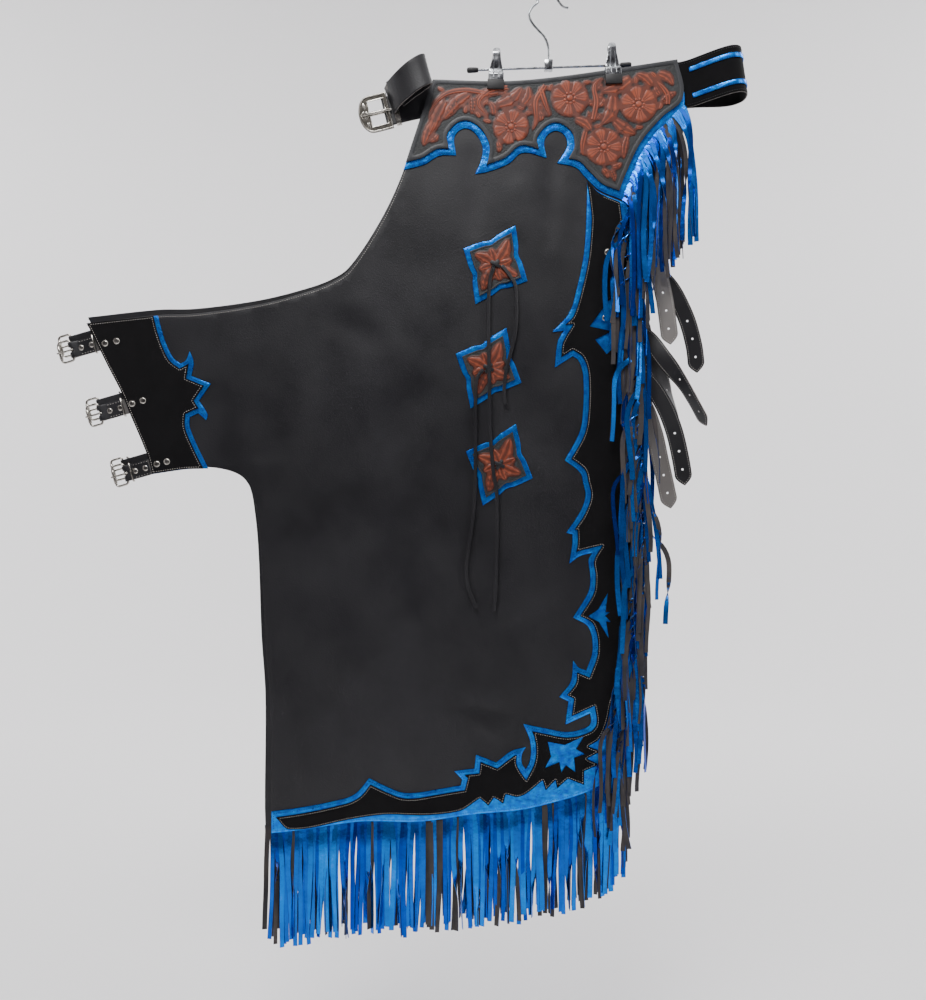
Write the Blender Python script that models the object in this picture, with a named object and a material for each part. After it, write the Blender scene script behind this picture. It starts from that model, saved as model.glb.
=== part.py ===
"""A pair of fringed leather chaps, folded in half and hung from a two-clip wire hanger.

Lengths below are millimetres; meshes are made in metres. X is to the right, +Y goes from the
front leg to the back leg, +Z is up, and the origin is the inside top of the hanger's hook.
Each flat piece is an outline of (across, up) points, cut as a sheet that follows one shared
drape, and lies at its own distance out from the middle plane between the two legs.
"""
import math

import bmesh
import bpy
from mathutils import Matrix, Vector
from mathutils.geometry import delaunay_2d_cdt

MM = 0.001
GAP = 0.3

# Distances out from the middle plane between the legs, inner face and outer face
STRAP_LAYER = (0.2, 1.8)
PANEL_LAYER = (2.1, 4.1)
FRINGE_LAYER = (2.9, 3.9)
TRIM_LAYER = (4.4, 5.4)
SUEDE_LAYER = (5.7, 6.9)
TOOLED_LAYER = (5.7, 7.7)

# The back leg hangs turned by this angle about the clips, so its edge shows at the left
BACK_TURN = -0.012
BACK_PIVOT = (5.0, -126.0)
BACK_SHIFT = (2.0, 2.0)

# Hanging folds: each row is (across, depth) at full growth
FOLDS = [(-480, 0), (-400, 3), (-320, -2), (-240, 4), (-170, -4), (-100, 5), (-30, -3), (30, 3), (90, 0)]
# Growth of the folds on the way down: each row is (up, share)
GROWTH = [(-280, 0), (-430, 0.3), (-580, 0.5), (-730, 0.7), (-880, 0.9), (-1000, 1.05), (-1110, 1.2)]

# Yoke, lower edge from left to right and up the slanted end: rows are (across, up)
YOKE_LOWER = [
    (-185, -238), (-158, -231), (-139, -220), (-117, -219), (-119, -195), (-107, -184.5),
    (-94, -189), (-83, -207), (-84, -224), (-92, -243), (-75, -240), (-49, -230), (-31, -216),
    (0, -222), (-2.5, -199), (11, -187.5), (24, -194), (27, -207), (21.5, -219), (14, -229),
    (38, -235), (49, -246), (68, -264), (99, -277),
]
YOKE_END = [(99, -277), (110, -248), (129, -208), (155, -177), (178, -155)]
YOKE_TOP = [(169, -96), (18, -118), (-53, -124), (-147, -122)]

# Leg panel, from the yoke's left end down the crotch curve, round the tab and down to the hem
INSEAM = [
    (-185, -238), (-213, -302), (-255, -367), (-281, -385), (-320, -399), (-372, -412), (-454, -424),
    (-504, -426), (-595, -437), (-588, -450), (-569, -489), (-549, -528), (-540, -551), (-517, -606),
    (-510, -632), (-469, -626), (-437, -623), (-398, -633), (-382, -654), (-374, -692), (-369, -744),
    (-364, -848), (-358, -926), (-357, -1066), (-356, -1097),
]
HEM = [
    (-356, -1097), (-295, -1089), (-233, -1083), (-138, -1079), (-55, -1069), (-3, -1060),
    (38, -1050), (69, -1035), (92, -1009), (96, -988),
]
OUTSEAM = [
    (96, -988), (95, -955), (99, -925), (109, -885), (118, -820), (121, -740), (122, -666),
    (120, -536), (114, -406), (104, -282), (99, -277),
]

# Flame edge of the wing down the outer side of the leg, from the yoke to the hem's left end
FLAME = [
    (53, -257), (51, -320), (48, -352), (40, -390), (30, -423), (8, -448), (23, -446), (15, -460),
    (11, -494), (34, -479), (42, -485), (48, -506), (47, -560), (42, -581), (24, -614), (44, -630),
    (48, -644), (51, -660), (44, -681), (26, -708), (34, -710), (34, -722), (30, -748), (44, -738),
    (60, -734), (55, -743), (57, -763), (55, -784), (35, -818), (55, -831), (60, -861), (52, -887),
    (42, -883), (35, -874), (32, -901), (17, -921), (29, -927), (27, -941), (25, -957), (42, -949),
    (57, -942), (58, -954), (52, -961), (28, -967), (-3, -961), (-30, -955), (-22, -974),
    (-20, -988), (-22, -1004), (-27, -1014), (-32, -1006), (-32, -994), (-27, -985), (-45, -990),
    (-65, -1006), (-91, -997), (-93, -1015), (-119, -1018), (-109, -1029), (-111, -1037),
    (-138, -1040), (-183, -1044), (-207, -1037), (-230, -1027), (-246, -1046), (-263, -1054),
    (-356, -1069),
]
# Lower edge of the suede along the hem, from its left end to the outer side
SUEDE_HEM = [
    (-350, -1076), (-332, -1091), (-254, -1080), (-202, -1072), (-115, -1070), (-86, -1053),
    (-75, -1062), (-68, -1051), (-56, -1058), (-53, -1046), (-34, -1048), (-5, -1028), (-1, -1041),
    (12, -1028), (14, -1039), (28, -1027), (49, -1035), (49, -1017), (68, -1008), (52, -1001),
    (70, -991), (54, -985), (69, -974), (79, -950), (84, -926), (97, -896),
]
# Edge of the suede on the inner tab, from top to bottom
TAB_EDGE = [
    (-503, -427), (-498, -447), (-491, -467), (-483, -482), (-474, -489), (-467, -485), (-462, -473),
    (-457, -487), (-460, -505), (-435, -515), (-450, -537), (-439, -555), (-441, -562), (-451, -553),
    (-462, -558), (-462, -571), (-453, -594), (-438, -625),
]

# Conchos: leather squares on the thigh, rows are (across, up, turn in degrees)
CONCHOS = [(-66, -361, 18), (-75, -495, 21), (-61, -620, 23)]
CONCHO_SIDE = 73.0
# Share by which the square leans, so that its upper right and lower left corners are drawn out
CONCHO_LEAN = 0.1
# Bracket notch in the middle of each side: its depth, and where its sides start
CONCHO_NOTCH = 4.5
CONCHO_NOTCH_SIDE = (11.0, 2.0)
CONCHO_RIM = 7.0
HIDDEN_CONCHO_THICK = 2.3

YOKE_RIM = 8.5
FLAME_RIM = 6.5
TAB_RIM = 5.5
# The wing's suede stays this far in from the outer side, between these heights
SUEDE_SIDE_GAP = 3.0
SUEDE_SIDE_REACH = (-880.0, -285.0)
# Its corner under the yoke, its own top edge, and the left end of its hem
SUEDE_CORNER = (59, -259)
SUEDE_TOP = [(95, -280.5), (67.5, -268)]
SUEDE_LEFT = -345.0

# Laces that hang from the conchos: (across, up) from the knot to the free end
LACES = {
    "lace_1": [(-68, -366), (-73, -380), (-75, -408), (-75, -458), (-74, -510), (-73, -575),
               (-69, -627), (-64, -666), (-65, -755), (-68, -809)],
    "lace_2": [(-58, -363), (-47, -377), (-40, -393), (-40, -443), (-47, -477), (-53, -503),
               (-55, -525), (-53, -542)],
    "lace_3": [(-82, -497), (-90, -510), (-92, -542), (-93, -666), (-104, -760), (-91, -805)],
}
LACE_THICK = 3.0
LACE_OUT = 9.6

# Fringe: strand width, length, strands in the hem, outer side and yoke end of each leg
STRAND_WIDE = 6.0
STRAND_LONG = 143.0
STRIP_DEEP = 4.0
STRIP_GAP = 0.8
SHINGLE = 0.14
# A strand that leaves its edge sideways turns down in two short steps
TURN_STEP = 4.0
STEEP = 0.4
FRINGES = {"front": {"hem": 50, "side": 42, "yoke": 12}, "back": {"hem": 40, "side": 32, "yoke": 10}}

# Straps on the inner tab: where each crosses the tab's edge, rows are (across, up)
TAB_STRAPS = [(-582, -462), (-545, -544), (-512, -622)]
STRAP_SLOPE = math.radians(16)
STRAP_WIDE = 20.0
STRAP_TUCK = 30.0
STRAP_REACH = 34.0
BAR_THICK = 3.0
BAR_PLAY = 0.4
FRAME_LONG = 16.0
FRAME_WIDE = 27.0
FRAME_CORNER = 4.0
PRONG_WIDE = 2.6
PRONG_THICK = 1.6
PRONG_OVERHANG = 3.0
PRONG_TILT = 0.07
PRONG_PLAY = 0.7
# Along a tab strap: its keeper's two ends, and how far its folded end reaches back from the bar
KEEPER = (8.0, 14.0)
FLAP = 9.0

# Billets on the outer side: rows are (across, up, out, twist in degrees)
BILLET_WIDE = 22.0
BILLET_TIP = 9.0
BILLET_TIP_SHARE = 0.25
BILLETS = {
    "front_billet_1": [(103, -334, 1, 0), (125, -344, 1, 0), (143, -366, 2, 0), (152, -400, 4, 10),
                       (156, -428, 6, 15), (159, -456, 8, 15)],
    "back_billet_1": [(103, -352, 1, 0), (130, -362, 1, 0), (160, -386, 2, 0), (182, -425, 5, 0),
                      (194, -462, 9, 0), (198, -490, 11, 0)],
    "front_billet_2": [(110, -444, 1, 0), (132, -456, 1, 0), (152, -484, 8, 20), (172, -513, 16, 60),
                       (186, -538, 20, 70), (199, -563, 22, 70)],
    "back_billet_2": [(110, -462, 1, 0), (134, -480, 1, 0), (152, -508, 7, 20), (165, -532, 14, 60),
                      (173, -554, 18, 65), (178, -577, 20, 65)],
    "front_billet_3": [(110, -500, 1, 0), (132, -512, 1, 0), (152, -542, 3, 10), (165, -576, 6, 15),
                       (173, -612, 8, 10), (177, -638, 9, 0)],
    "back_billet_3": [(110, -528, 1, 0), (128, -544, 1, 0), (141, -578, 2, 0), (149, -612, 4, 0),
                      (156, -642, 6, 0), (162, -668, 8, 0)],
}

FLESH_OUT = ("front_billet_1", "back_billet_3")

# Front belt: its middle where it leaves the yoke, its slope, and rows of (along, out, rise)
FRONT_BELT_AT = (-166, -151)
FRONT_BELT_SLOPE = math.radians(14)
FRONT_BELT_WIDE = 38.0
FRONT_BELT_THICK = 2.2
FRONT_BELT_PATH = [(-22, 0, 0), (-4, 0, 0), (12, 1.5, 0), (46, 1.5, 0)]
BELT_LOOP_PATH = [
    (35, 3.6, 12), (28, 14, 15), (15, 24, 19), (0, 30, 24), (-13, 30, 28), (-21, 24, 31),
    (-18, 16, 31), (-6, 11.5, 28), (8, 9.5, 24), (20, 9, 19), (27, 9.2, 16),
]
BUCKLE_ALONG = (38.0, 79.0)
BUCKLE_HALF = 24.0
BUCKLE_RIM = 7.0
BUCKLE_ROUND = 16.0
BUCKLE_TONGUE_HALF = 2.2
BUCKLE_WINDOW = (5.0, 14.0)
BUCKLE_LAYER = (3.0, 6.0)

# Back belt: its middle where it leaves the yoke, and rows of (along, out)
BACK_BELT_AT = (174, -127)
BACK_BELT_SLOPE = math.radians(8)
BACK_BELT_WIDE = 60.0
BACK_BELT_THICK = 1.6
BACK_BELT_PATH = [
    (-14, 1.05), (3, 1.05), (14, 4), (30, 14), (46, 24), (60, 30), (70, 29), (77, 22), (80, 11),
    (80, -1), (76, -9), (66, -14), (52, -13), (34, -8), (16, -3), (3, -1.05), (-14, -1.05),
]
STRIPE_RISE = (17.0, -17.0)
STRIPE_WIDE = 5.6
STRIPE_THICK = 0.8

# Hanger: hook wire, collar, clip bar with soft ends, and the two spring clips
WIRE_THICK = 3.2
HOOK_RADIUS = 13.8
HOOK_TAIL = [(-10.4, -18), (-18, -25), (-22, -34), (-19, -44), (-11, -54), (-2, -64), (3, -78), (3, -99)]
HOOK_TIP = [(16, -17), (22, -24), (29, -26)]
COLLAR_AT = (3, -101)
COLLAR_SIZE = (7.0, 13.0)
BAR_LEFT = (-101, -107)
BAR_RIGHT = (109, -100)
BAR_TIP_SIZE = (3.6, 15.0)
CLIP_WIDE = 20.0
CLIP_WALL = 1.5
CLIP_JAW_HALF = 1.2
# Clip cross-section: rows are (above the bar, half of the inner gap)
CLIP_SHAPE = [(27, 2.0), (22, 4.0), (10, 3.6), (2, 1.9), (-2.5, 2.2), (-6, 8.2), (-27, 8.0)]
# Each clip: where it is across, its bar's height, and its tilt in degrees
CLIP_PLACES = [(-65, -107.5, -2.0), (86, -100.5, 2.0)]

# Colour, roughness and metallic value of each finish
FINISHES = {
    "smooth black leather": ("#2E2D33", 0.45, 0.0),
    "black suede": ("#0D0C0E", 0.95, 0.0),
    "metallic blue leather": ("#0E6FC0", 0.3, 0.7),
    "tooled tan leather": ("#A8553B", 0.5, 0.0),
    "grey flesh side": ("#6E6A68", 0.9, 0.0),
    "nickel plated metal": ("#C9C5BC", 0.3, 1.0),
    "chromed spring steel": ("#BFC2C6", 0.25, 1.0),
}


def clear_scene():
    for item in list(bpy.data.objects):
        bpy.data.objects.remove(item, do_unlink=True)


def linear(hex_colour):
    """Turns an sRGB hex colour into linear red, green, blue and full alpha."""
    channels = [int(hex_colour[i:i + 2], 16) / 255 for i in (1, 3, 5)]
    return [c / 12.92 if c <= 0.04045 else ((c + 0.055) / 1.055) ** 2.4 for c in channels] + [1.0]


def finish(name, finish_name):
    """Makes the material of one piece."""
    colour, roughness, metallic = FINISHES[finish_name]
    material = bpy.data.materials.new(name + " " + finish_name)
    material.use_nodes = True
    shader = material.node_tree.nodes["Principled BSDF"]
    shader.inputs["Base Color"].default_value = linear(colour)
    shader.inputs["Roughness"].default_value = roughness
    shader.inputs["Metallic"].default_value = metallic
    return material


class Chaps:
    """Holds the collections that the pieces and the cutters go in."""

    def __init__(self):
        self.pieces = bpy.data.collections.new("leather_chaps")
        self.cutters = bpy.data.collections.new("cutters")
        for group in (self.pieces, self.cutters):
            bpy.context.scene.collection.children.link(group)

    def add(self, name, mesh, finish_name, place=Matrix()):
        piece = bpy.data.objects.new(name, mesh)
        piece.matrix_world = place
        mesh.materials.clear()
        mesh.materials.append(finish(name, finish_name))
        self.pieces.objects.link(piece)
        return piece

    def add_cutter(self, name, mesh, place=Matrix()):
        cutter = bpy.data.objects.new(name, mesh)
        cutter.matrix_world = place
        cutter.hide_render = True
        cutter.display_type = "WIRE"
        self.cutters.objects.link(cutter)
        return cutter


def mesh_from(name, points, faces):
    """Makes a mesh from points in millimetres, with its faces turned outwards."""
    mesh = bpy.data.meshes.new(name)
    mesh.from_pydata([Vector(p) * MM for p in points], [], faces)
    shape = bmesh.new()
    shape.from_mesh(mesh)
    bmesh.ops.remove_doubles(shape, verts=shape.verts, dist=1e-7)
    bmesh.ops.triangulate(shape, faces=shape.faces)
    bmesh.ops.recalc_face_normals(shape, faces=shape.faces)
    shape.to_mesh(mesh)
    shape.free()
    return mesh


def interpolate(rows, value):
    """Reads a table of (place, amount) rows, straight between rows and level past the ends."""
    rows = sorted(rows)
    if value <= rows[0][0]:
        return rows[0][1]
    for (low, amount_low), (high, amount_high) in zip(rows, rows[1:]):
        if value <= high:
            return amount_low + (amount_high - amount_low) * (value - low) / (high - low)
    return rows[-1][1]


def cell_of(rows, value):
    """Finds the two neighbouring places of a table that a value lies between."""
    places = sorted(row[0] for row in rows)
    for low, high in zip(places, places[1:]):
        if value <= high:
            return low, high
    return places[-2], places[-1]


def drape(across, up):
    """Depth of the folds towards the back: flat facets over a grid of folds and growth rows."""
    across = min(max(across, FOLDS[0][0]), FOLDS[-1][0])
    up = min(max(up, GROWTH[-1][0]), GROWTH[0][0])
    left, right = cell_of(FOLDS, across)
    low, high = cell_of(GROWTH, up)
    share_x = (across - left) / (right - left)
    share_z = (up - low) / (high - low)

    def corner(x, z):
        return interpolate(FOLDS, x) * interpolate(GROWTH, z)

    if share_x + share_z <= 1:
        start = corner(left, low)
        return start + share_x * (corner(right, low) - start) + share_z * (corner(left, high) - start)
    start = corner(right, high)
    return (start + (1 - share_x) * (corner(left, high) - start)
            + (1 - share_z) * (corner(right, low) - start))


def fold_lines():
    """The grid's edges, which every sheet is creased along."""
    lines = []
    top, bottom = 0, GROWTH[-1][0] - 30
    for across, _ in FOLDS:
        lines.append(((across, top), (across, bottom)))
    for up, _ in GROWTH:
        lines.append(((FOLDS[0][0], up), (FOLDS[-1][0], up)))
    for (left, _), (right, _) in zip(FOLDS, FOLDS[1:]):
        for (high, _), (low, _) in zip(GROWTH, GROWTH[1:]):
            lines.append(((left, high), (right, low)))
    return lines


def inside(loop, point):
    """Tells if a point lies inside a closed outline."""
    x, z = point
    crossings = 0
    for (ax, az), (bx, bz) in zip(loop, loop[1:] + loop[:1]):
        if (az > z) != (bz > z) and x < (bx - ax) * (z - az) / (bz - az) + ax:
            crossings += 1
    return crossings % 2 == 1


def anticlockwise(loop):
    area = sum(ax * bz - bx * az for (ax, az), (bx, bz) in zip(loop, loop[1:] + loop[:1]))
    return loop if area > 0 else loop[::-1]


def inset(loop, distance_of):
    """Moves each edge of an outline inwards by its own distance and drops edges that vanish."""
    loop = anticlockwise(loop)
    edges = []
    for a, b in zip(loop, loop[1:] + loop[:1]):
        start, end = Vector(a), Vector(b)
        along = (end - start).normalized()
        normal = Vector((-along.y, along.x))
        edges.append((start + normal * distance_of(a, b), along))
    while True:
        corners = []
        for (p, d), (q, e) in zip(edges[-1:] + edges[:-1], edges):
            turn = d.x * e.y - d.y * e.x
            if abs(turn) < 0.05:
                corners.append(q.copy())
                continue
            step = ((q - p).x * e.y - (q - p).y * e.x) / turn
            corners.append(p + d * step)
        flipped = [i for i, (_, d) in enumerate(edges)
                   if (corners[(i + 1) % len(corners)] - corners[i]).dot(d) < 0.2]
        if not flipped:
            return [(c.x, c.y) for c in corners]
        edges = [edge for i, edge in enumerate(edges) if i not in flipped[:1]]


def sheet_mesh(name, loop, layer, side, holes=()):
    """Cuts an outline from leather: creased along the folds, with walls between its two faces."""
    loop = anticlockwise(loop)
    low_x, high_x = min(p[0] for p in loop), max(p[0] for p in loop)
    low_z, high_z = min(p[1] for p in loop), max(p[1] for p in loop)
    points = []
    edges = []
    for ring in [loop, *holes]:
        first = len(points)
        points += ring
        edges += [(first + i, first + (i + 1) % len(ring)) for i in range(len(ring))]
    for (ax, az), (bx, bz) in fold_lines():
        if max(ax, bx) < low_x or min(ax, bx) > high_x or max(az, bz) < low_z or min(az, bz) > high_z:
            continue
        edges.append((len(points), len(points) + 1))
        points += [(ax, az), (bx, bz)]
    flat, _, cells, _, _, _ = delaunay_2d_cdt([Vector(p) for p in points], edges, [], 0, 0.02)
    kept = []
    for cell in cells:
        middle = sum((flat[i] for i in cell), Vector((0, 0))) / len(cell)
        if inside(loop, middle) and not any(inside(hole, middle) for hole in holes):
            kept.append(list(cell))
    return wall_mesh(name, [(p.x, drape(p.x, p.y), p.y) for p in flat], kept, layer, side)


def wall_mesh(name, surface, cells, layer, side):
    """Gives a surface of (across, depth, up) points its two faces and the walls between them."""
    used = sorted({i for cell in cells for i in cell})
    place = {old: new for new, old in enumerate(used)}
    count = len(used)
    cells = [[place[i] for i in cell] for cell in cells]
    points = [(surface[i][0], surface[i][1] + side * layer[0], surface[i][2]) for i in used]
    points += [(surface[i][0], surface[i][1] + side * layer[1], surface[i][2]) for i in used]
    faces = [cell for cell in cells] + [[i + count for i in reversed(cell)] for cell in cells]
    border = {}
    for cell in cells:
        for a, b in zip(cell, cell[1:] + cell[:1]):
            if (b, a) in border:
                del border[(b, a)]
            else:
                border[(a, b)] = True
    faces += [[b, a, a + count, b + count] for a, b in border]
    return mesh_from(name, points, faces)


def turned(points, leg):
    """Places an outline on its leg: the front one as drawn, the back one a little turned."""
    if leg == "front":
        return list(points)
    cosine, sine = math.cos(BACK_TURN), math.sin(BACK_TURN)
    result = []
    for x, z in points:
        dx, dz = x - BACK_PIVOT[0], z - BACK_PIVOT[1]
        result.append((BACK_PIVOT[0] + dx * cosine - dz * sine + BACK_SHIFT[0],
                       BACK_PIVOT[1] + dx * sine + dz * cosine + BACK_SHIFT[1]))
    return result


def side_of(leg):
    return -1 if leg == "front" else 1


def panel_outline():
    return INSEAM + HEM[1:] + OUTSEAM[1:] + YOKE_END[1:] + YOKE_TOP


def yoke_outline():
    return YOKE_LOWER + YOKE_END[1:] + YOKE_TOP


def wing_top():
    """Upper edge of the wing, just under the yoke's lower edge, from the outer side inwards."""
    return [(98, -279.5), (67.5, -266.5), (52.5, -253)]


def wing_outline():
    return FLAME + HEM[:-1] + OUTSEAM[:-1] + wing_top()


def tab_outline():
    """The part of the panel's tab that lies outside the suede's edge."""
    start = INSEAM.index((-504, -426))
    end = INSEAM.index((-437, -623))
    border = INSEAM[start + 1:end]
    return TAB_EDGE + border[::-1]


def add_leg_sheets(chaps, leg):
    """Panel, blue rims, suede overlays and tooled yoke of one leg."""
    side = side_of(leg)
    rim = {"yoke": yoke_outline(), "wing": wing_outline(), "tab": tab_outline()}
    lower = set(YOKE_LOWER + YOKE_END)
    yoke = inset(rim["yoke"], lambda a, b: YOKE_RIM if a in lower and b in lower else 0.0)
    tab_edge = set(TAB_EDGE)
    tab = inset(rim["tab"], lambda a, b: TAB_RIM if a in tab_edge and b in tab_edge else 0.0)
    pieces = [
        ("leg_panel", panel_outline(), PANEL_LAYER, "smooth black leather"),
        ("yoke_trim", rim["yoke"], TRIM_LAYER, "metallic blue leather"),
        ("wing_trim", rim["wing"], TRIM_LAYER, "metallic blue leather"),
        ("tab_trim", rim["tab"], TRIM_LAYER, "metallic blue leather"),
        ("yoke", yoke, TOOLED_LAYER, "tooled tan leather"),
        ("wing_overlay", wing_suede(), SUEDE_LAYER, "black suede"),
        ("tab_overlay", tab, SUEDE_LAYER, "black suede"),
    ]
    for name, loop, layer, finish_name in pieces:
        label = leg + "_" + name
        chaps.add(label, sheet_mesh(label, turned(loop, leg), layer, side), finish_name)


def wing_suede():
    """The wing's suede: the flame edge drawn in by its rim, then back along its own lower edge."""
    flame_set = set(FLAME)
    drawn_in = inset(wing_outline(), lambda a, b: FLAME_RIM if a in flame_set and b in flame_set else 0.0)
    corner = Vector(SUEDE_CORNER)
    start = min(range(len(drawn_in)), key=lambda i: (Vector(drawn_in[i]) - corner).length)
    ordered = drawn_in[start:] + drawn_in[:start]
    stop = min(range(len(ordered)), key=lambda i: ordered[i][0])
    flame = [point for point in ordered[:stop] if point[0] > SUEDE_LEFT]
    low, high = SUEDE_SIDE_REACH
    outer = [(x - SUEDE_SIDE_GAP, z) for x, z in OUTSEAM if low < z < high]
    return flame + SUEDE_HEM + outer + SUEDE_TOP


def concho_outline(side_length):
    """A leaning square with a shallow bracket notch in the middle of each side."""
    half = side_length / 2
    away, drawn_in = CONCHO_NOTCH_SIDE
    rows = [(-half, -half), (-away, drawn_in - half), (0, CONCHO_NOTCH - half), (away, drawn_in - half)]
    loop = []
    for quarter in range(4):
        angle = quarter * math.pi / 2
        for x, z in rows:
            across = x * math.cos(angle) - z * math.sin(angle)
            up = x * math.sin(angle) + z * math.cos(angle)
            loop.append((across + CONCHO_LEAN * up, up + CONCHO_LEAN * across))
    return loop


def moved(loop, across, up, turn):
    angle = math.radians(turn)
    return [(across + x * math.cos(angle) - z * math.sin(angle),
             up + x * math.sin(angle) + z * math.cos(angle)) for x, z in loop]


def add_conchos(chaps, leg):
    side = side_of(leg)
    for number, (across, up, turn) in enumerate(CONCHOS, 1):
        rim = turned(moved(concho_outline(CONCHO_SIDE), across, up, turn), leg)
        patch = turned(moved(concho_outline(CONCHO_SIDE - 2 * CONCHO_RIM), across, up, turn), leg)
        label = f"{leg}_concho_trim_{number}"
        if leg == "front":
            chaps.add(label, sheet_mesh(label, rim, TRIM_LAYER, side), "metallic blue leather")
            label = f"{leg}_concho_patch_{number}"
            chaps.add(label, sheet_mesh(label, patch, TOOLED_LAYER, side), "tooled tan leather")
        else:
            label = f"{leg}_concho_{number}"
            layer = (TRIM_LAYER[0], TRIM_LAYER[0] + HIDDEN_CONCHO_THICK)
            chaps.add(label, sheet_mesh(label, rim, layer, side), "tooled tan leather")


class EdgeLine:
    """An edge of the garment that can be read by its length from the start."""

    def __init__(self, points, outward):
        self.points = [Vector(p) for p in points]
        self.outward = outward
        self.lengths = [0.0]
        for a, b in zip(self.points, self.points[1:]):
            self.lengths.append(self.lengths[-1] + (b - a).length)

    def normal(self, k):
        along = (self.points[k + 1] - self.points[k]).normalized()
        return Vector((-along.y, along.x)) * self.outward

    def read(self, length):
        """Point and outward direction at a length along the edge."""
        for k in range(len(self.points) - 1):
            if length <= self.lengths[k + 1] or k == len(self.points) - 2:
                part = (length - self.lengths[k]) / (self.lengths[k + 1] - self.lengths[k])
                return self.points[k].lerp(self.points[k + 1], part), self.normal(k)

    def corners(self, start, end):
        """Points of the edge between two lengths, with the mitred direction out of each."""
        result = []
        for k in range(1, len(self.points) - 1):
            if start < self.lengths[k] < end:
                mitre = self.normal(k - 1) + self.normal(k)
                result.append((self.points[k], mitre * 2 / mitre.length_squared))
        return result


def fringe_mesh(name, line, count, layer, side, shingle):
    """A narrow strip beside an edge, cut into strands that turn down and hang.

    The strands of a steep edge lie over each other like shingles, so each one comes forward
    as it falls.
    """
    edge = EdgeLine(line, -1)
    points = []
    cells = []
    previous = []

    def station(place, normal):
        """Adds the strip's inner and outer point at a place and joins them to the last pair."""
        for depth in (STRIP_GAP, STRIP_DEEP):
            at = place + normal * depth
            points.append((at.x, drape(at.x, at.y), at.y))
        pair = (len(points) - 2, len(points) - 1)
        if previous:
            inner, outer = previous[-1]
            cells.append([inner, pair[0], pair[1], outer])
        previous.append(pair)
        return pair

    half = STRAND_WIDE / 2
    total = edge.lengths[-1]
    last_end = half
    for number in range(count):
        middle = half + (total - 2 * half) * (number + 0.5) / count
        for place, normal in edge.corners(last_end, middle - half):
            station(place, normal)
        first = station(*edge.read(middle - half))
        last_end = middle + half
        second = station(*edge.read(last_end))
        root = [Vector((points[i][0], points[i][2])) for i in (first[1], second[1])]
        across = (root[1] - root[0]) / 2
        centre = (root[0] + root[1]) / 2
        normal = Vector((across.y, -across.x)).normalized()
        root_depth = drape(centre.x, centre.y)
        heading_out = math.atan2(normal.y, normal.x)
        turn = -math.pi / 2 - heading_out
        swing = 0.05 * math.sin(number * 2.4) + 0.03 * math.sin(number * 5.1)
        reach = STRAND_LONG * (1 + 0.04 * math.sin(number * 3.7))
        steps = [(1.0, reach)]
        if abs(turn) > STEEP:
            steps = [(0.5, TURN_STEP), (1.0, TURN_STEP), (1.0, reach - 2 * TURN_STEP)]
        travelled = 0.0
        last = (first[1], second[1])
        for share, length in steps:
            heading = heading_out + (turn + swing) * share
            centre = centre + Vector((math.cos(heading), math.sin(heading))) * length
            travelled += length
            wide = Matrix.Rotation(turn * share, 2) @ across
            now = []
            for end in (centre - wide, centre + wide):
                points.append((end.x, root_depth + side * shingle * travelled, end.y))
                now.append(len(points) - 1)
            cells.append([last[0], last[1], now[1], now[0]])
            last = tuple(now)
    return wall_mesh(name, points, cells, layer, side)


def add_fringes(chaps, leg):
    side = side_of(leg)
    lines = {"hem": (HEM, FRINGE_LAYER, 0.0), "side": (OUTSEAM[:-1], FRINGE_LAYER, SHINGLE),
             "yoke": (YOKE_END, TRIM_LAYER, SHINGLE)}
    for place, (line, layer, shingle) in lines.items():
        label = f"{leg}_fringe_{place}"
        mesh = fringe_mesh(label, turned(line, leg), FRINGES[leg][place], layer, side, shingle)
        chaps.add(label, mesh, "metallic blue leather")


def loft(name, sections):
    """Joins four-cornered sections into one closed bar."""
    points = [corner for section in sections for corner in section]
    faces = [[3, 2, 1, 0], [len(points) - 4 + i for i in range(4)]]
    for ring in range(len(sections) - 1):
        for i in range(4):
            j = (i + 1) % 4
            faces.append([ring * 4 + i, ring * 4 + j, ring * 4 + 4 + j, ring * 4 + 4 + i])
    return mesh_from(name, points, faces)


def belt_axes(slope, leftwards):
    """The directions along a belt, out of the garment, and across the belt's width."""
    sign = -1 if leftwards else 1
    along = Vector((sign * math.cos(slope), 0, -math.sin(slope) if leftwards else math.sin(slope)))
    rise = Vector((-math.sin(slope), 0, math.cos(slope)))
    return along, Vector((0, -1, 0)), rise


def band_mesh(name, path, at, axes, width, thick, lift=0.0, rise_at=0.0):
    """A belt that bends round an axis along its own width, through rows of (along, out, rise)."""
    along, out, rise = axes
    origin = Vector((at[0], 0, at[1]))
    rows = [Vector((row[0], row[1])) for row in path]
    sections = []
    for i, row in enumerate(path):
        before = rows[max(i - 1, 0)]
        after = rows[min(i + 1, len(rows) - 1)]
        heading = (after - before).normalized()
        normal = Vector((-heading.y, heading.x))
        lifted = rise_at + (row[2] if len(row) > 2 else 0.0)
        section = []
        for u, v in ((-1, -1), (1, -1), (1, 1), (-1, 1)):
            flat = rows[i] + normal * (lift + u * thick / 2)
            section.append(origin + along * flat.x + out * flat.y + rise * (lifted + v * width / 2))
        sections.append(section)
    return loft(name, sections)


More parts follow.
